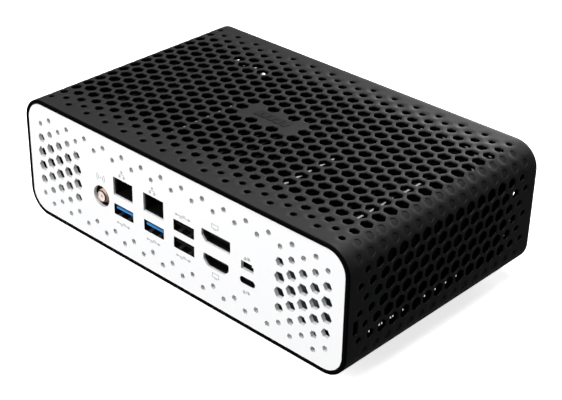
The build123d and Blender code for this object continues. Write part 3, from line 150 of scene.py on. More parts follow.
def slot_outline(across, along, corner):
    """Eighteen points round a rectangle with rounded corners, anticlockwise from its right side."""
    turn = np.radians([0, 45, 90])
    ends = [np.stack([sx * (across - corner) + corner * np.cos(turn + quarter),
                      sy * (along - corner) + corner * np.sin(turn + quarter)], -1)
            for sx, sy, quarter in QUARTERS]
    third = across / 3
    return np.concatenate([[[across, 0]], ends[0], [[third, along], [-third, along]], ends[1],
                           [[-across, 0]], ends[2], [[-third, -along], [third, -along]], ends[3]])


def build_sleeve():
    """Rings round every hole: cell edge, bevel, wall and inner face, all on the bent profile."""
    column, row, centre, corners, size, pocket, blank = honeycomb_cells()
    lock = (column == 21) & (row == -16)
    # Two cell corners stand aside to leave room for the lock slot
    for old, new in (((132.18, -56.25), (130.2, -56.6)), ((136.51, -56.25), (137.7, -56.6))):
        corners[np.hypot(*(corners - old).transpose(2, 0, 1)) < 0.1] = new
    outline = split_sides(corners)
    turn = np.radians(60) * np.arange(6)
    hexagon = np.stack([np.cos(turn), np.sin(turn)], -1)[None]
    hexagon = split_sides(hexagon)[0]
    hexagon[::3] *= 0.965
    shape = centre[:, None] + hexagon * (size / math.sqrt(3))[:, None, None]
    unit = hexagon / np.linalg.norm(hexagon, axis=1, keepdims=True)
    shape[lock] = LOCK_SLOT + slot_outline(3.5, 1.5, 0.8)
    rings, points, faces = 0, [], []

    def ring(sy, depth):
        nonlocal rings
        points.append(on_sleeve(sy[..., 0], sy[..., 1], depth).reshape(-1, 3))
        numbers = rings + np.arange(sy.shape[0] * sy.shape[1]).reshape(sy.shape[:2])
        rings += sy.shape[0] * sy.shape[1]
        return numbers

    open_cells = (~blank & ~pocket) | lock
    bevel = 0.2
    for group in (open_cells, pocket & ~blank):
        edge, hole = outline[group], shape[group]
        wide = hole + unit * bevel
        loops = [ring(edge, 0), ring(wide, 0), ring(hole + unit * 0.06, 0.06), ring(hole, bevel)]
        if group is open_cells:
            loops += [ring(hole, WALL), ring(edge, WALL)]
        else:
            middle = centre[group][:, None]
            loops += [ring(hole, 0.4), ring(middle + (hole - middle) * 0.5, 0.4)]
            faces.append(loops[-1])
            inner = [ring(edge, WALL), ring(middle + (hole - middle) * 0.5, WALL)]
            faces += [band(inner[1], inner[0]), inner[1][:, ::-1]]
        faces += [band(a, b) for a, b in zip(loops, loops[1:])]
    plain = blank & ~lock
    edge = outline[plain]
    middle = edge.mean(1, keepdims=True)
    outer = [ring(edge, 0), ring(middle + (edge - middle) * 0.5, 0)]
    inner = [ring(edge, WALL), ring(middle + (edge - middle) * 0.5, WALL)]
    faces += [band(*outer), outer[1], band(inner[1], inner[0]), inner[1][:, ::-1]]
    # Mouths: the outer face rolls over to the rim, and back along the inner face
    half = np.unique(np.round(np.abs(outline[..., 0]), 3))
    half = half[np.insert(np.diff(half) > 0.2, 0, True)]
    floor = np.linspace(FLOOR_EDGE, HALF_FLAT + ARC * 2 + UPRIGHT + HALF_FLAT, 30)[1:]
    half = np.concatenate([half[half < FLOOR_EDGE - 0.07], [FLOOR_EDGE], floor])
    s = np.concatenate([-half[-2::-1], half])
    roll = [(LAST_HOLE, 0), (63.5, 0), (63.68, 0.05), (63.85, 0.17), (63.95, 0.33), (MOUTH, 0.55),
            (MOUTH, 1.8), (63.9, 1.95), (63.7, WALL), (LAST_HOLE, WALL)]
    for end in (1, -1):
        loops = [ring(np.stack([s, np.full(len(s), end * y)], -1)[None], depth) for y, depth in roll]
        for a, b in zip(loops, loops[1:]):
            faces.append(band(a, b) if end > 0 else band(b, a))
    return np.concatenate(points), faces


def matched_frame(outer, inner, heights, inner_bevel):
    """Plate between two matched closed outlines: underside, eased opening, wall, top and outer wall."""
    count = len(outer)
    lift = lambda loop, z: np.column_stack([loop, np.full(count, z)])
    low, high = heights
    away = inner - inner.mean(0)
    away = away / np.linalg.norm(away, axis=1, keepdims=True)
    loops = [lift(outer, low), lift(inner + away * inner_bevel, low), lift(inner, low + inner_bevel),
             lift(inner, high), lift(outer, high), lift(outer, low)]
    ids = [np.arange(count) + count * k for k in range(6)]
    return np.concatenate(loops), [band(b[None], a[None]) for a, b in zip(ids, ids[1:])]


def bottom_plate():
    """Flat floor of the sleeve, from the curved cells in to the service opening."""
    bend = [(64 + 4 * math.cos(t), 49 + 4 * math.sin(t)) for t in np.radians([15, 30, 45, 60, 75])]
    quarter_in = [(68, 0), (68, 25), (68, 49)] + bend + [(64, 53), (30, 53)]
    edge = HALF_FLAT - (FLOOR_EDGE - HALF_FLAT - 2 * ARC - UPRIGHT)
    quarter_out = [(edge, y) for y in (0, 25, 49, 53, 57)] + [(x, LAST_HOLE) for x in (edge, 80, 72, 64, 30)]
    loops = []
    for quarter in (quarter_out, quarter_in):
        q = np.array(quarter, float)
        mid = [(0, q[-1][1])]
        top = np.concatenate([q, mid, (q * (-1, 1))[::-1]])
        low = np.concatenate([(q * (-1, -1))[1:], [(0, -q[-1][1])], (q * (1, -1))[::-1][:-1]])
        loops.append(np.concatenate([top, low]))
    return matched_frame(loops[0], loops[1], (6.0, 8.0), 0.25)


def ledge(sign):
    """Ledge with a thumbscrew's bore, standing on the sleeve's floor over the opening's edge."""
    turn = np.linspace(0, 2 * math.pi, 32, endpoint=False) + math.pi / 4
    bore = np.column_stack([np.cos(turn), np.sin(turn)]) * 2.0
    square = bore / np.abs(bore).max(1, keepdims=True) * (8, 9)
    return matched_frame(square + (26, sign * 50), bore + (26, sign * 47), (8.0, 12.0), 0.2)


parts = [build_sleeve(), bottom_plate(), ledge(1), ledge(-1)]
shift, points, faces = 0, [], []
for part_points, part_faces in parts:
    points.append(part_points)
    faces += [f + shift for f in part_faces]
    shift += len(part_points)
sleeve = add_mesh("sleeve", np.concatenate(points), faces)


class Wire:
    """A shader socket that takes part in sums: each sum adds a Math node to its material."""

    def __init__(self, owner, socket):
        self.owner, self.socket = owner, socket

    def sum(self, operation, first, second):
        return self.owner.node("ShaderNodeMath", {"operation": operation}, {0: first, 1: second})

    def __add__(self, other):
        return self.sum("ADD", self, other)

    def __radd__(self, other):
        return self.sum("ADD", other, self)

    def __sub__(self, other):
        return self.sum("SUBTRACT", self, other)

    def __rsub__(self, other):
        return self.sum("SUBTRACT", other, self)

    def __mul__(self, other):
        return self.sum("MULTIPLY", self, other)

    def __rmul__(self, other):
        return self.sum("MULTIPLY", other, self)

    def __truediv__(self, other):
        return self.sum("DIVIDE", self, other)

    def __gt__(self, other):
        return self.sum("GREATER_THAN", self, other)

    def __lt__(self, other):
        return self.sum("LESS_THAN", self, other)

    def absolute(self):
        return self.sum("ABSOLUTE", self, 0.0)

    def ramp(self, low, high):
        """0 at low, 1 at high, eased between."""
        settings = {"interpolation_type": "SMOOTHSTEP"}
        return self.owner.node("ShaderNodeMapRange", settings, {0: self, 1: low, 2: high})

    def largest(self, other):
        return self.sum("MAXIMUM", self, other)

    def root(self):
        return self.sum("SQRT", self, 0.0)

    def fraction(self):
        return self.sum("FRACT", self, 0.0)


class Finish:
    """A material whose varying inputs are written as sums of Wires; constants sit on the shader."""

    def __init__(self, name, color, roughness, metallic=0.0, **constants):
        self.block = bpy.data.materials.new(name)
        self.block.use_nodes = True
        self.tree = self.block.node_tree
        self.shader = self.tree.nodes["Principled BSDF"]
        self.feed(self.shader.inputs["Base Color"], (*color, 1.0))
        self.feed(self.shader.inputs["Roughness"], roughness)
        self.feed(self.shader.inputs["Metallic"], metallic)
        self.block.diffuse_color = (*color, 1.0)
        for key, value in constants.items():
            self.feed(self.shader.inputs[key.replace("_", " ").title().replace("Ior", "IOR")], value)

    def feed(self, socket, value):
        if isinstance(value, Wire):
            self.tree.links.new(value.socket, socket)
        else:
            socket.default_value = value

    def node(self, kind, settings=(), values=(), output=0):
        made = self.tree.nodes.new(kind)
        for key, value in dict(settings).items():
            setattr(made, key, value)
        for key, value in dict(values).items():
            self.feed(made.inputs[key], value)
        return Wire(self, made.outputs[output])

    def place(self):
        """The point on the piece, in metres, as three Wires and the vector itself."""
        vector = self.node("ShaderNodeTexCoord", output=3)
        axes = [self.node("ShaderNodeSeparateXYZ", (), {0: vector}, k) for k in range(3)]
        return (*axes, vector)

    def noise(self, scale, detail=2.0, stretch=(1.0, 1.0, 1.0)):
        *_, vector = self.place()
        turned = self.node("ShaderNodeVectorMath", {"operation": "MULTIPLY"}, {0: vector, 1: stretch})
        return self.node("ShaderNodeTexNoise", (), {"Vector": turned, "Scale": scale, "Detail": detail})

    def mix(self, factor, first, second):
        """Colour between two colours; a plain tuple is a colour too."""
        first, second = [c if isinstance(c, Wire) else (*c, 1.0) for c in (first, second)]
        return self.node("ShaderNodeMix", {"data_type": "RGBA"}, {0: factor, 6: first, 7: second}, 2)

    def set(self, **wires):
        for key, value in wires.items():
            self.feed(self.shader.inputs[key.replace("_", " ").title()], value)
        return self

    def bump(self, height, depth, strength=1.0):
        """Relief of this many metres where height goes from 0 to 1."""
        relief = self.node("ShaderNodeBump", (), {"Strength": strength, "Distance": depth, "Height": height})
        return self.set(normal=relief)

    def on(self, *pieces):
        for piece in pieces:
            piece.data.materials.clear()
            piece.data.materials.append(self.block)
        return self


def dress(finish, *names):
    """Put a finish on these CAD nodes."""
    finish.on(*[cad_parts[name] for name in names])


sleeve_finish = Finish("sleeve_moulding", (0.012, 0.012, 0.0125), 0.45, specular_ior_level=0.22)
grain = sleeve_finish.noise(2600, 3)
cloud = sleeve_finish.noise(35, 3)
x, y, z, _ = sleeve_finish.place()
# Five low slanted bars, 4.2 mm apart, stand in the solid patch of the top
BAR_PITCH = 0.0042
lean = ((x - y * 0.25) / BAR_PITCH + 0.5).fraction()
lean = (lean - 0.5).absolute() * BAR_PITCH
patch = (x.absolute() < 0.0102) * (z > 0.0675)
bars = (1.0 - lean.ramp(0.00105, 0.0013)) * (1.0 - y.absolute().ramp(0.0018, 0.00205)) * patch
inside_bar = (lean < 0.00085) * (y.absolute() < 0.0017)
# Painted shadow: a thin dark outline round each raised bar
outline = (lean < 0.00170) * (y.absolute() < 0.0026) * patch * (1.0 - inside_bar)
rim = y.absolute().ramp(0.0629, 0.0635)
tone = sleeve_finish.mix(grain * 0.6 + cloud * 0.4, (0.0085, 0.0085, 0.0090), (0.0135, 0.0135, 0.0142))
# How deep a point lies under the outer surface, by its distance from the rounded outline
over_x = (x.absolute() - 0.090).largest(0.0)
over_z = ((z - 0.037).absolute() - 0.019).largest(0.0)
depth = 0.012 - (over_x * over_x + over_z * over_z).root()
# Painted shade: the hole walls and the inner face turn near black with depth, and the bars' outline
# is painted dark as their shadow; the rims at both mouths are darker too
shade = rim.largest(depth.ramp(0.0004, 0.0008)).largest(outline)
sleeve_finish.set(base_color=sleeve_finish.mix(shade, tone, (0.0020, 0.0020, 0.0021)),
                  roughness=0.40 + grain * 0.10 + cloud * 0.06 + rim * 0.2, metallic=shade * 0.95)
sleeve_finish.bump(grain * 0.08 + bars, 0.00035, 0.6)
sleeve_finish.on(sleeve)
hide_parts("sleeve_top", "sleeve_corners", "sleeve_left", "sleeve_right", "sleeve_bottom")
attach(sleeve, "chassis")

# ---------------------------------------------------------------- End panels
# Both ends are closed by a white moulded plate with a satin face, cut with the same honeycomb. Its
# faces are slightly pebbled; its hidden back and the inner part of the socket openings are painted near black
# as shade.


def satin(name, light, dark, roughness, **constants):
    """Moulded plastic: two close tones in a fine grain, with a wide slow change of gloss."""
    finish = Finish(name, light, roughness, **constants)
    fine, slow = finish.noise(1900, 2), finish.noise(24, 2)
    finish.set(base_color=finish.mix(fine * 0.5 + slow * 0.5, dark, light),
               roughness=roughness - 0.05 + fine * 0.07 + slow * 0.05)
    return finish.bump(fine, 0.00002, 0.3)


panel_finish = satin("panel_moulding", (0.90, 0.90, 0.905), (0.85, 0.853, 0.86), 0.42, specular_ior_level=0.3)
x, y, z, _ = panel_finish.place()
# Painted shade: the panel's back, within 61.85 mm of the middle, is painted near black
back = 1.0 - y.absolute().ramp(0.06185, 0.06200)
# Painted shade: deeper than 62.6 mm the cut walls of the socket openings are painted near black, so only
# their outer part stays white
among_sockets = ((x + 0.002).absolute() < 0.0385) * ((z - 0.0375).absolute() < 0.0105)
shadow = (1.0 - y.absolute().ramp(0.0626, 0.0628)) * among_sockets
back = 1.0 - (1.0 - back) * (1.0 - shadow)
fine = panel_finish.noise(1900, 2)
face = panel_finish.mix(fine, (0.88, 0.88, 0.885), (0.92, 0.92, 0.925))
panel_finish.set(base_color=panel_finish.mix(back, face, (0.012, 0.012, 0.012)))
dress(panel_finish, "rear_panel", "front_panel")

# ---------------------------------------------------------------- Marks printed on the panels
# Pale grey pad printing beside each socket: arcs by the antenna, three joined squares by the
# network sockets, a line with an arrow by the serial sockets, a screen by the display sockets.

INK = 0.03
PANEL_FACE = 63.8


def gather(shapes):
    """Several (points, faces) shapes as one."""
    shift, points, faces = 0, [], []
    for shape_points, shape_faces in shapes:
        points.append(shape_points)
        faces += [np.asarray(f) + shift for f in shape_faces]
        shift += len(shape_points)
    return np.concatenate(points), faces


def rounded_bar(centre, across, along, corner, slant=0.0, steps=4):
    """Outline of a rounded rectangle, anticlockwise, leaning by slant."""
    turn = np.radians(np.linspace(0, 90, steps))
    loops = [np.column_stack([sx * (across - corner) + corner * np.cos(turn + q),
                              sy * (along - corner) + corner * np.sin(turn + q)]) for sx, sy, q in QUARTERS]
    loop = np.concatenate(loops)
    loop[:, 0] += slant * loop[:, 1]
    return loop + centre


def sign_arcs(x, z, radii, width, spread):
    """Arcs left and right of a dot, as bent bars along a circle."""
    t = np.radians(np.linspace(-spread, spread, 9))
    loops = [rounded_bar((x, z), 0.42, 0.42, 0.4)]
    for radius in radii:
        for side in (1, -1):
            arc = np.column_stack([side * np.cos(t), np.sin(t)])
            outer, inside = arc * (radius + width / 2), arc[::-1] * (radius - width / 2)
            loops.append((np.concatenate([outer, inside]) + (x, z))[::side])
    return loops


def sign_network(x, z):
    """One square joined to two below it."""
    places = ((0, 1.3), (-1.45, -1.2), (1.45, -1.2))
    squares = [rounded_bar((x + dx, z + dz), 0.62, 0.55, 0.12) for dx, dz in places]
    lines = [rounded_bar((x, z + 0.35), 0.13, 0.5, 0.05),
             rounded_bar((x, z), 1.58, 0.13, 0.05),
             rounded_bar((x - 1.45, z - 0.4), 0.13, 0.4, 0.05),
             rounded_bar((x + 1.45, z - 0.4), 0.13, 0.4, 0.05)]
    return squares + lines


def sign_arrow(x, z, reach):
    """A dot, a line and an arrow head, for a data socket."""
    head = np.array([(reach, 0), (reach - 1.5, 0.8), (reach - 1.5, -0.8)]) + (x, z)
    return [rounded_bar((x - reach + 0.6, z), 0.6, 0.6, 0.58),
            rounded_bar((x, z), reach - 1.0, 0.24, 0.1),
            head,
            rounded_bar((x + 0.6, z + 0.75), 0.9, 0.22, 0.1),
            rounded_bar((x - 1.4, z - 0.75), 0.9, 0.22, 0.1)]


def sign_screen(x, z):
    """The outline of a screen on its foot."""
    return [rounded_bar((x, z + 1.25), 2.1, 0.16, 0.06),
            rounded_bar((x, z - 0.75), 2.1, 0.16, 0.06),
            rounded_bar((x - 1.95, z + 0.25), 0.16, 1.1, 0.06),
            rounded_bar((x + 1.95, z + 0.25), 0.16, 1.1, 0.06),
            rounded_bar((x, z - 1.3), 0.9, 0.14, 0.06)]


def sign_ring(x, z, radius, width, opening=0.0, turn=90.0):
    """A ring, or a ring open at one side."""
    t = np.radians(np.linspace(turn + opening, turn + 360 - opening, 36))
    circle = np.column_stack([np.cos(t), np.sin(t)])
    outer, inside = circle * (radius + width / 2), circle * (radius - width / 2)
    return [np.concatenate([outer[k:k + 2], inside[k:k + 2][::-1]]) + (x, z) for k in range(35)]


def printed(name, loops, end):
    """Ink on an end panel: each outline is a thin raised face; end is -1 for the sockets' panel."""
    shapes = []
    for loop in loops:
        count = len(loop)
        face = np.column_stack([loop[:, 0], np.full(count, end * (PANEL_FACE + INK)), loop[:, 1]])
        foot = np.column_stack([loop[:, 0], np.full(count, end * (PANEL_FACE - 0.01)), loop[:, 1]])
        ids = np.arange(count)
        rim = band(ids[None], ids[None] + count)[:, ::-1] if end < 0 else band(ids[None] + count, ids[None])
        shapes.append((np.concatenate([face, foot]), [ids[None] if end < 0 else ids[None, ::-1], rim]))
    return add_mesh(name, *gather(shapes))


rear_signs = sign_arcs(-47.9, 43.4, (1.5, 2.7), 0.42, 42)
for x in (-32.9, -12.4):
    rear_signs += sign_network(x, 50.6) + sign_arrow(x, 24.2, 4.6)
rear_signs += sign_arrow(7.3, 45.2, 4.9) + sign_arrow(7.3, 24.3, 4.7)
rear_signs += sign_screen(27.2, 48.6) + sign_screen(27.5, 23.9)
rear_signs += sign_arrow(46.4, 24.4, 2.3) + sign_arrow(46.6, 41.3, 1.9)
# Button panel: headphones, a microphone, two arrows and a memory card with a cut corner
front_signs = sign_ring(-22, 36.6, 1.5, 0.35, 50, -90)
front_signs += [rounded_bar((x, 36.0), 0.35, 0.8, 0.2) for x in (-23.5, -20.5)]
front_signs += [rounded_bar((-8, 37.2), 0.7, 1.2, 0.65),
                rounded_bar((-8, 34.9), 0.12, 0.5, 0.05),
                rounded_bar((-8, 34.3), 0.9, 0.14, 0.06)]
front_signs += sign_ring(-8, 37.0, 1.3, 0.25, 95, 90)
front_signs += sign_arrow(14, 35.6, 4.4) + sign_arrow(33, 34.2, 2.3)
front_signs += [rounded_bar((-45, 33.4), 1.5, 0.16, 0.06),
                rounded_bar((-45, 36.4), 1.1, 0.16, 0.06),
                rounded_bar((-46.4, 34.9), 0.16, 1.5, 0.06),
                rounded_bar((-43.6, 34.6), 0.16, 1.2, 0.06),
                rounded_bar((-43.9, 36.0), 0.16, 0.55, 0.06, -0.9)]
ink_finish = satin("panel_ink", (0.46, 0.465, 0.48), (0.40, 0.405, 0.42), 0.55)
for name, loops, end in (("rear_print", rear_signs, -1), ("front_print", front_signs, 1)):
    ink = printed(name, loops, end)
    ink_finish.on(ink)
    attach(ink, "chassis")

# ---------------------------------------------------------------- Network and serial stacks
# Two black plastic housings each hold a network socket over a blue serial socket. Eight gold springs
# hang from the network socket's roof, and a plated shell lines each serial socket.

socket_finish = satin("socket_moulding", (0.007, 0.007, 0.0075), (0.004, 0.004, 0.0045), 0.5,
                      specular_ior_level=0.1)
dress(socket_finish, "stack_housings", "black_socket_housing", "socket_carriers", "keyed_socket",
      "drive_socket", "memory_socket", "wireless_socket", "coin_cell_holder", "audio_jacks")

gold_finish = Finish("gold_plate", (0.86, 0.60, 0.24), 0.26, 1.0)
wear = gold_finish.noise(700, 2)
gold_finish.set(base_color=gold_finish.mix(wear, (0.92, 0.68, 0.30), (0.74, 0.49, 0.18)),
                roughness=0.18 + wear * 0.16)
dress(gold_finish, "network_contacts", "keyed_pins", "antenna_pin")

shell_finish = Finish("dark_plate", (0.016, 0.016, 0.017), 0.4, 0.85)
drawn = shell_finish.noise(500, 3, (1.0, 0.08, 1.0))
shell_finish.set(base_color=shell_finish.mix(drawn, (0.010, 0.010, 0.011), (0.030, 0.030, 0.032)),
                 roughness=0.30 + drawn * 0.2)
dress(shell_finish, "blue_socket_shells", "black_socket_shells", "upper_video_socket",
      "lower_video_socket", "oval_sockets")

blue_finish = Finish("blue_moulding", (0.03, 0.22, 0.62), 0.36)
fine = blue_finish.noise(1500, 2)
# Painted shade: each tongue is painted darker blue behind its front face, which stays lighter
unshaded_front = blue_finish.place()[1].absolute().ramp(0.0626, 0.0630)
blue_finish.set(base_color=blue_finish.mix(unshaded_front, (0.008, 0.12, 0.42), (0.045, 0.25, 0.62)),
                roughness=0.28 + fine * 0.14)
blue_finish.bump(fine, 0.00002, 0.3)
dress(blue_finish, "blue_socket_tongues")
dress(socket_finish, "black_socket_tongues", "video_tongues", "oval_tongues")


def contact_rows(rows):
    """Gold strips: each row is (middle x, z, first y, last y, count, pitch, width, side of the tongue,
    end of the box); a strip is a thin bar rounded over at its free end."""
    shapes = []
    for x, z, near, far, count, pitch, width, face, end in rows:
        at = x + (np.arange(count) - (count - 1) / 2) * pitch
        run = np.array([0.0, 0.15, 0.4, far - near])
        lift = np.array([0.0, 0.045, 0.06, 0.06]) * face
        for middle in at:
            edge = np.full(4, middle - width / 2)
            left = np.column_stack([edge, end * (PANEL_FACE - near - run), z + lift])
            right = left + (width, 0, 0)
            sides = [np.arange(4)[None], np.arange(4, 8)[None]]
            quads = band(*(sides[::-1] if face * end > 0 else sides), closed=False)
            shapes.append((np.concatenate([left, right]), [quads]))
    return gather(shapes)


rows = []
serial_blue = [(-32.4, 30.95, -1), (-11.9, 30.95, -1)]
serial_black = [(7.7, 30.45, -1), (7.7, 39.4, -1)]
serial_front = [(14.0, 30.2, 1)]
for x, z, end in serial_blue + serial_front + serial_black:
    rows += [(x, z + 0.05, 1.2, 9.0, 4, 2.25, 1.1, -1, end), (x, z + 0.05, 0.9, 1.15, 5, 1.8, 0.6, -1, end)]
rows += [(27.65, 42.70, 3.2, 8.5, 10, 1.1, 0.45, 1, -1), (27.65, 41.40, 3.2, 8.5, 10, 1.1, 0.45, -1, -1)]
rows += [(27.75, 31.05, 3.2, 8.5, 10, 0.95, 0.4, 1, -1), (27.75, 29.95, 3.2, 8.5, 9, 0.95, 0.4, -1, -1)]
for x, z, end in ((46.7, 30.05, -1), (33.0, 29.4, 1)):
    rows += [(x, z + 0.35, 1.5, 6.0, 12, 0.5, 0.26, 1, end), (x, z - 0.35, 1.5, 6.0, 12, 0.5, 0.26, -1, end)]
contacts = add_mesh("socket_contacts", *contact_rows(rows))
gold_finish.on(contacts)
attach(contacts, "chassis")


def spring_strips(strips):
    """Bowed retention springs of the serial sockets: each strip sags from a wall as one sine arch."""
    shapes = []
    for x, z, width, face, end in strips:
        t = np.linspace(0, 1, 12)
        y = end * (63.5 - 6.5 * t)
        sag = z - face * 0.5 * np.sin(math.pi * t) ** 1.3
        half, thick = width / 2, -face * 0.15
        section = ((-half, 0), (half, 0), (half, thick), (-half, thick))
        loops = [np.column_stack([np.full(12, x + dx), y, sag + dz]) for dx, dz in section]
        ids = [np.arange(12) + 12 * k for k in range(4)]
        quads = [band(ids[k][None], ids[(k + 1) % 4][None], closed=False) for k in range(4)]
        if face * end > 0:
            quads = [q[:, ::-1] for q in quads]
        shapes.append((np.concatenate(loops), quads))
    return gather(shapes)


strips = [(x + dx, z + face * 2.5, 2.0, face, end)
          for x, z, end in serial_blue + serial_black + serial_front
          for dx in (-3.1, 3.1) for face in (1, -1)]
springs = add_mesh("socket_springs", *spring_strips(strips))
spring_finish = Finish("spring_plate", (0.42, 0.42, 0.43), 0.3, 1.0)
spring_finish.set(roughness=0.24 + spring_finish.noise(900, 2, (1, 0.1, 1)) * 0.16)
spring_finish.on(springs)
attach(springs, "chassis")

# ---------------------------------------------------------------- Antenna connector
# A turned, gold plated barrel with a fine thread runs out through the panel. A hexagon nut and a
# folded tab hold it, a white plug of plastic fills it, and a socket for the pin shows in its middle.

ANTENNA = (-47.85, 33.6)

def turned(name, profile, at, steps=48):
    """Surface of revolution about an axis along Y: profile is (radius, y) from the outer end inwards."""
    t = np.linspace(0, 2 * math.pi, steps, endpoint=False)
    radius, y = np.array(profile, float).T
    points = np.stack([at[0] + radius[:, None] * np.cos(t),
                       np.broadcast_to(y[:, None], (len(y), steps)),
                       at[1] + radius[:, None] * np.sin(t)], -1)
    ids = np.arange(points[..., 0].size).reshape(len(y), steps)
    return add_mesh(name, points, [band(ids[:-1], ids[1:])], crease=40)


crests = np.arange(-63.2, -58.0, 0.7)
thread = [(2.32, -59.0), (2.32, -63.85), (2.45, -64.0), (2.85, -64.0), (3.05, -63.7)]
root, crest = 2.90, 3.16
for y in crests:
    thread += [(root, y), (crest, y + 0.28), (crest, y + 0.36), (root, y + 0.62)]
thread += [(2.75, -57.7), (4.3, -55.79), (4.5, -55.5), (4.5, -54.1), (4.3, -53.8)]
thread += [(1.8, -53.8), (1.8, -50.0), (1.6, -49.8), (0.7, -49.8)]
barrel = turned("antenna_barrel", thread, ANTENNA)
brass_finish = Finish("turned_brass", (0.62, 0.44, 0.17), 0.3, 1.0)
rings = brass_finish.noise(1800, 2, (0.05, 1.0, 0.05))
brass_finish.set(base_color=brass_finish.mix(rings, (0.48, 0.33, 0.13), (0.74, 0.54, 0.24)),
                 roughness=0.2 + rings * 0.22)
# Painted shade and highlight: the front face's outer ring is painted near black as shade by the thread, the
# middle of the front face is painted pale as a highlight on the plated rim, and the flank is plated tan
barrel_finish = Finish("plated_barrel", (0.02, 0.02, 0.02), 0.4, 0.15)
x, y, z, _ = barrel_finish.place()
aside, up = x - ANTENNA[0] * MM, z - ANTENNA[1] * MM
reach = (aside * aside + up * up).root()
front_shade_and_flank = barrel_finish.mix(y.ramp(-0.06372, -0.0635), (0.008, 0.0075, 0.007), (0.80, 0.56, 0.42))
barrel_finish.set(base_color=barrel_finish.mix(1.0 - reach.ramp(0.0025, 0.0026), front_shade_and_flank, (0.80, 0.70, 0.65)),
                  roughness=0.32 + barrel_finish.noise(1500, 2) * 0.14)
barrel_finish.on(barrel)
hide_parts("antenna_connector")
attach(barrel, "chassis")
dress(brass_finish, "antenna_nut", "standoffs", "cooler_posts")
plug_finish = satin("white_plug", (0.84, 0.74, 0.69), (0.76, 0.66, 0.61), 0.38)
dress(plug_finish, "antenna_insulator")

# ---------------------------------------------------------------- Sheet steel inside
# The drive's bracket, the connector's tab, the memory clips and the card slot are pressed from bright
# galvanised sheet with fine rolling lines; the frame is painted near black as shade, with a row of glowing
# painted glints.

steel_finish = Finish("galvanised_sheet", (0.56, 0.57, 0.58), 0.36, 1.0)
rolled = steel_finish.noise(420, 3, (1.0, 0.05, 1.0))
cells = {"Vector": steel_finish.place()[3], "Scale": 220.0}
spangle = steel_finish.node("ShaderNodeTexVoronoi", {"feature": "F1"}, cells, 1)
spangle = steel_finish.node("ShaderNodeSeparateColor", (), {0: spangle})
sheet = spangle * 0.6 + rolled * 0.4
steel_finish.set(base_color=steel_finish.mix(sheet, (0.30, 0.31, 0.32), (0.48, 0.49, 0.50)),
                 roughness=0.27 + spangle * 0.12 + rolled * 0.1)
dress(steel_finish, "drive_bracket", "antenna_bracket", "memory_latches", "card_socket", "coin_cell")
frame_finish = Finish("shade_painted_frame", (0.03, 0.03, 0.031), 0.5, 0.4,
                      specular_ior_level=0.2, emission_strength=1.0)
x, y, z, _ = frame_finish.place()
# Painted glints: a row of glowing bright spots along the right side sheet, one spacing left out, three of
# them doubled
GLINT_PITCH = 0.0075
glint_phase = ((y + 0.042) / GLINT_PITCH).fraction()
doubled_glint = (y < -0.013) * ((y + 0.026).absolute() < 0.0085)
aside = ((glint_phase - 0.5).absolute() * GLINT_PITCH - doubled_glint * 0.0008).absolute()
row = ((y + 0.008).absolute() < 0.032) * (1.0 - ((y + 0.00825).absolute() < 0.003)) * (x > 0.0925)
glint = (aside < 0.00036) * ((z - 0.0152).absolute() < 0.0004) * row
frame_finish.set(base_color=frame_finish.mix(glint, (0.008, 0.008, 0.0085), (0.95, 0.95, 0.95)),
                 emission_color=frame_finish.mix(glint, (0, 0, 0), (0.8, 0.8, 0.8)),
                 roughness=0.44 + frame_finish.noise(500, 3, (1.0, 0.05, 1.0)) * 0.12,
                 metallic=0.4 - glint * 0.4)
dress(frame_finish, "mount_frame")
plated_finish = Finish("nickel_plate", (0.62, 0.61, 0.59), 0.24, 1.0)
plated = plated_finish.noise(600, 2)
plated_finish.set(base_color=plated_finish.mix(plated, (0.56, 0.55, 0.53), (0.68, 0.67, 0.65)),
                  roughness=0.18 + plated * 0.14)
dress(plated_finish, "cooler_screws", "drive_screws", "thumbscrew_rear", "thumbscrew_front", "heat_pipes")
zinc_finish = Finish("black_zinc", (0.045, 0.045, 0.048), 0.32, 0.8)
zinc_finish.set(roughness=0.26 + zinc_finish.noise(800, 2) * 0.14)
dress(zinc_finish, "board_screws")

# ---------------------------------------------------------------- Circuit boards
# Dark green solder mask over copper tracks, which show as slightly lighter lines at right angles.
# Small soldered parts, cans, packages and the cooler's soft pad stand on the mainboard.

board_finish = Finish("solder_mask", (0.006, 0.020, 0.013), 0.32, specular_ior_level=0.3)
x, y, z, vector = board_finish.place()


def tracks(across, pitch, patch):
    """Lines of equal pitch across one axis, only where the patch's value is high."""
    return ((across / pitch).fraction() - 0.5).absolute().ramp(0.18, 0.3) * (patch > 0.52)


squares = {"Vector": vector, "Scale": 90.0}
patch = board_finish.node("ShaderNodeTexVoronoi", {"distance": "CHEBYCHEV"}, squares, 1)
patch = board_finish.node("ShaderNodeSeparateColor", (), {0: patch})
lines = tracks(x, 0.0009, patch) + tracks(y, 0.0009, 1.0 - patch)
board_finish.set(base_color=board_finish.mix(lines * 0.7, (0.005, 0.016, 0.011), (0.014, 0.045, 0.028)),
                 roughness=0.30 + lines * 0.1)
board_finish.bump(lines, 0.00003, 0.4)
dress(board_finish, "mainboard", "wireless_card", "button_switch")

module_finish = Finish("memory_module", (0.012, 0.045, 0.03), 0.34)
x, y, z, _ = module_finish.place()
chip_zone = (z > 0.0142) * (z < 0.01519) + (z > 0.0192) * (z < 0.02019)
lines = tracks(y, 0.0011, module_finish.noise(60, 1))
module_board = module_finish.mix(lines * 0.6, (0.010, 0.050, 0.030), (0.030, 0.100, 0.060))
module_finish.set(base_color=module_finish.mix(chip_zone, module_board, (0.016, 0.016, 0.017)),
                  roughness=0.32 + chip_zone * 0.2)
dress(module_finish, "memory_modules")

chip_finish = satin("chip_package", (0.026, 0.026, 0.028), (0.018, 0.018, 0.019), 0.46,
                    specular_ior_level=0.35)
dress(chip_finish, "processor", "inductors")


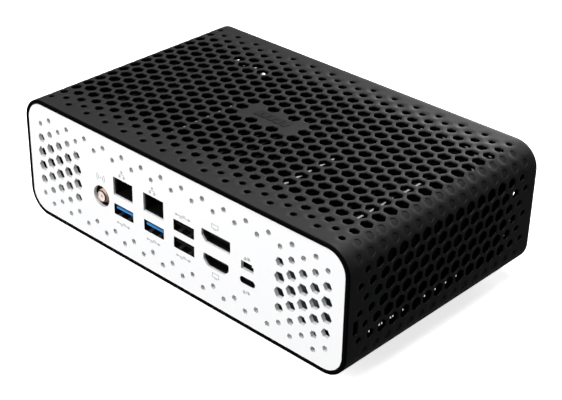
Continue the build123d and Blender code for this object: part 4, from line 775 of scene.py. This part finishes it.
def tiny_blocks(centres, halves):
    """Small soldered parts: boxes with the top drawn in a little, all worked out as one array."""
    signs = np.array([(-1, -1), (1, -1), (1, 1), (-1, 1)], float)
    feet = centres[:, None, :2] + signs * halves[:, None, :2]
    low = np.concatenate([feet, np.broadcast_to(centres[:, None, 2:], (*feet.shape[:2], 1))], -1)
    waist = low + (0, 0, 1) * (halves[:, None, 2:] * 1.7)
    drawn_in = centres[:, None, :2] + signs * (halves[:, None, :2] - 0.12)
    roof = np.concatenate([drawn_in, waist[..., 2:] + halves[:, None, 2:] * 0.3], -1)
    points = np.concatenate([low, waist, roof], 1)
    ids = np.arange(len(centres) * 12).reshape(-1, 3, 4)
    return points.reshape(-1, 3), [band(ids[:, 0], ids[:, 1]), band(ids[:, 1], ids[:, 2]), ids[:, 2]]


BOARD_TOP = 26.3
GRID = 1.6
luck = np.random.default_rng(7)
spots = luck.uniform((-86, -34, 0), (86, 54, 0), (900, 3))
# Places on the board that larger parts take, as x0, y0, x1, y1
taken = [(-22, -13, 22, 22), (34, -16, 60, 26), (-84, -56, -44, -30),
         (30, 42, 86, 58), (-62, 38, -2, 58), (-40, -22, 40, 30)]
free = np.ones(len(spots), bool)
for x0, y0, x1, y1 in taken:
    free &= ~((spots[:, 0] > x0) & (spots[:, 0] < x1) & (spots[:, 1] > y0) & (spots[:, 1] < y1))
spots = spots[free]
spots = np.round(spots / GRID) * GRID
spots[:, 2] = BOARD_TOP
long_way = luck.random(len(spots)) > 0.5
halves = np.where(long_way[:, None], (0.7, 0.4, 0.3), (0.4, 0.7, 0.3))
small_parts = add_mesh("board_parts", *tiny_blocks(spots, halves))
parts_finish = Finish("ceramic_parts", (0.30, 0.24, 0.17), 0.4)
tone = parts_finish.noise(170, 0)
parts_finish.set(base_color=parts_finish.mix(tone.ramp(0.46, 0.54), (0.36, 0.29, 0.20), (0.05, 0.05, 0.052)))
parts_finish.on(small_parts)
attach(small_parts, "chassis")

pad_finish = Finish("thermal_pad", (0.46, 0.48, 0.52), 0.7)
pad_finish.set(base_color=pad_finish.mix(pad_finish.noise(900, 2), (0.42, 0.44, 0.48), (0.52, 0.54, 0.58)))
dress(pad_finish, "thermal_pad")

can_finish = Finish("capacitor_can", (0.62, 0.63, 0.64), 0.28, 1.0)
top = can_finish.place()[2].ramp(0.03372, 0.03379)
half_moon = top * (can_finish.noise(95, 0) > 0.5)
can_finish.set(base_color=can_finish.mix(half_moon, (0.62, 0.63, 0.65), (0.03, 0.03, 0.035)),
               metallic=1.0 - half_moon)
dress(can_finish, "capacitors")

# ---------------------------------------------------------------- Cooler
# A milled block with 23 upright fins, painted near black as shade inside the box. Painted glints:
# bright lines along three fins near their tops glow and show through the honeycomb.

fin_finish = Finish("shade_painted_fins", (0.006, 0.006, 0.0065), 0.5,
                    specular_ior_level=0.1, emission_strength=1.0)
x, y, z, _ = fin_finish.place()
milled = fin_finish.noise(700, 2, (1.0, 0.05, 0.3))
# Painted glints: each glowing line is a fin's x, a height, and the y where the line stops
glint_lines = ((0.07898, 0.0624, 0.012), (0.0367, 0.0606, 0.002), (-0.0350, 0.0591, 0.010))
glint_line_mask = 0.0
for at, height, far in glint_lines:
    glint_line_mask = ((x - at).absolute() < 0.0009) * ((z - height).absolute() < 0.0005) * (y < far) + glint_line_mask
glint = glint_line_mask * (fin_finish.noise(160, 1) > 0.42)
fin_finish.set(base_color=fin_finish.mix(glint, (0.006, 0.006, 0.0065), (0.50, 0.51, 0.53)),
               roughness=0.46 + milled * 0.14 - glint * 0.16,
               emission_color=fin_finish.mix(glint, (0, 0, 0), (0.38, 0.39, 0.40)))
dress(fin_finish, "heat_sink")

# ---------------------------------------------------------------- Leads, drive, cover, feet
# Under the board hang the drive in its folded bracket and two memory modules; the service cover
# with its two thumbscrews closes the opening below them, and four rubber feet carry the box.

jacket_finish = satin("lead_jacket", (0.018, 0.018, 0.019), (0.012, 0.012, 0.013), 0.45)
dress(jacket_finish, "antenna_lead")
drive_finish = Finish("drive_case", (0.42, 0.43, 0.45), 0.38, 1.0)
brushed = drive_finish.noise(300, 3, (0.04, 1.0, 1.0))
drive_finish.set(base_color=drive_finish.mix(brushed, (0.36, 0.37, 0.39), (0.52, 0.53, 0.55)),
                 roughness=0.3 + brushed * 0.18)
dress(drive_finish, "solid_state_drive")
cover_finish = satin("cover_moulding", (0.034, 0.034, 0.0355), (0.024, 0.024, 0.025), 0.46,
                     specular_ior_level=0.4)
dress(cover_finish, "bottom_cover")
button_finish = satin("button_moulding", (0.90, 0.90, 0.905), (0.84, 0.84, 0.85), 0.3)
x, y, z, _ = button_finish.place()
# The power sign on the button's face: a ring of radius 2.3 mm, open at the top, and a stroke
aside, up = x - 0.052, z - 0.037
reach = (aside * aside + up * up).root()
opening = (aside.absolute() < 0.0008) * (up > 0.0)
ring = (1.0 - (reach - 0.0023).absolute().ramp(0.0002, 0.0003)) * (1.0 - opening)
stroke = (aside.absolute() < 0.00024) * ((up - 0.0020).absolute() < 0.0014)
sign = (ring + stroke) * (y > 0.0639)
button_finish.set(base_color=button_finish.mix(sign, (0.89, 0.89, 0.895), (0.20, 0.21, 0.23)))
dress(button_finish, "power_button")
guide_finish = Finish("light_guide", (0.70, 0.78, 0.82), 0.2, coat_weight=0.4)
haze = guide_finish.noise(800, 2)
guide_finish.set(base_color=guide_finish.mix(haze, (0.62, 0.71, 0.76), (0.78, 0.85, 0.88)),
                 roughness=0.16 + haze * 0.1)
dress(guide_finish, "light_guides")
rubber_finish = Finish("foot_rubber", (0.018, 0.018, 0.018), 0.82)
speckle = rubber_finish.noise(1400, 3)
rubber_finish.set(base_color=rubber_finish.mix(speckle, (0.014, 0.014, 0.014), (0.032, 0.032, 0.032)),
                  roughness=0.74 + speckle * 0.14)
rubber_finish.bump(speckle, 0.00006, 0.5)
dress(rubber_finish, "rubber_feet")


# ---------------------------------------------------------------- Floor, light and camera
# A plain pale table, a large soft source over it, one on the socket side and one low behind.

HALF_TABLE = 4000
TABLE_DROP = 0.02
table = np.array([(-1, -1, 0), (1, -1, 0), (1, 1, 0), (-1, 1, 0)]) * HALF_TABLE - (0, 0, TABLE_DROP)
floor = add_mesh("floor", table, [[[0, 1, 2, 3]]])
floor_finish = Finish("pale_table", (0.90, 0.90, 0.90), 0.75, specular_ior_level=0.1,
                      emission_color=(1, 1, 1, 1), emission_strength=0.75)
floor_finish.set(roughness=0.7 + floor_finish.noise(900, 2) * 0.12)
floor_finish.on(floor)
# The table is seen, but sends no light back up onto the dark walls
floor.visible_diffuse = False
floor.visible_glossy = False


def softbox(name, at, towards, size, power):
    """A rectangular area light aimed at a point."""
    light = bpy.data.lights.new(name, "AREA")
    light.shape, light.size, light.size_y, light.energy = "RECTANGLE", size[0], size[1], power
    lamp = bpy.data.objects.new(name, light)
    bpy.context.scene.collection.objects.link(lamp)
    back = np.subtract(at, towards)
    back = back / np.linalg.norm(back)
    right = np.cross((0, 0, 1), back)
    right = right / np.linalg.norm(right)
    rows = np.column_stack([right, np.cross(back, right), back, at])
    lamp.matrix_world = Matrix([*rows.tolist(), [0, 0, 0, 1]])


softbox("over_light", (-0.10, 0.15, 1.3), (0, 0.02, 0), (1.1, 1.1), 27)
softbox("socket_side_light", (-0.25, -1.25, 0.55), (0, 0, 0.03), (1.0, 0.7), 21)
softbox("back_light", (-0.28, 1.3, 0.32), (0, 0, 0.03), (1.0, 0.5), 10)

world = bpy.data.worlds.new("studio")
world.use_nodes = True
world.node_tree.nodes["Background"].inputs["Color"].default_value = (0.92, 0.94, 0.97, 1.0)
world.node_tree.nodes["Background"].inputs["Strength"].default_value = 0.13
bpy.context.scene.world = world

camera = bpy.data.objects.new("camera", bpy.data.cameras.new("camera"))
bpy.context.scene.collection.objects.link(camera)
camera.data.sensor_width = 36.0
camera.data.lens = 87.91
camera.data.shift_x = 0.0862
camera.data.shift_y = -0.0134
camera.data.clip_start, camera.data.clip_end = 0.05, 20
camera.matrix_world = Matrix([
    [0.70773, -0.34965, 0.61389, 0.38482],
    [0.70648, 0.34850, -0.61598, -0.41202],
    [0.00143, 0.86965, 0.49366, 0.34906],
    [0, 0, 0, 1],
])
bpy.context.scene.camera = camera
bpy.context.scene.view_settings.view_transform = "Standard"
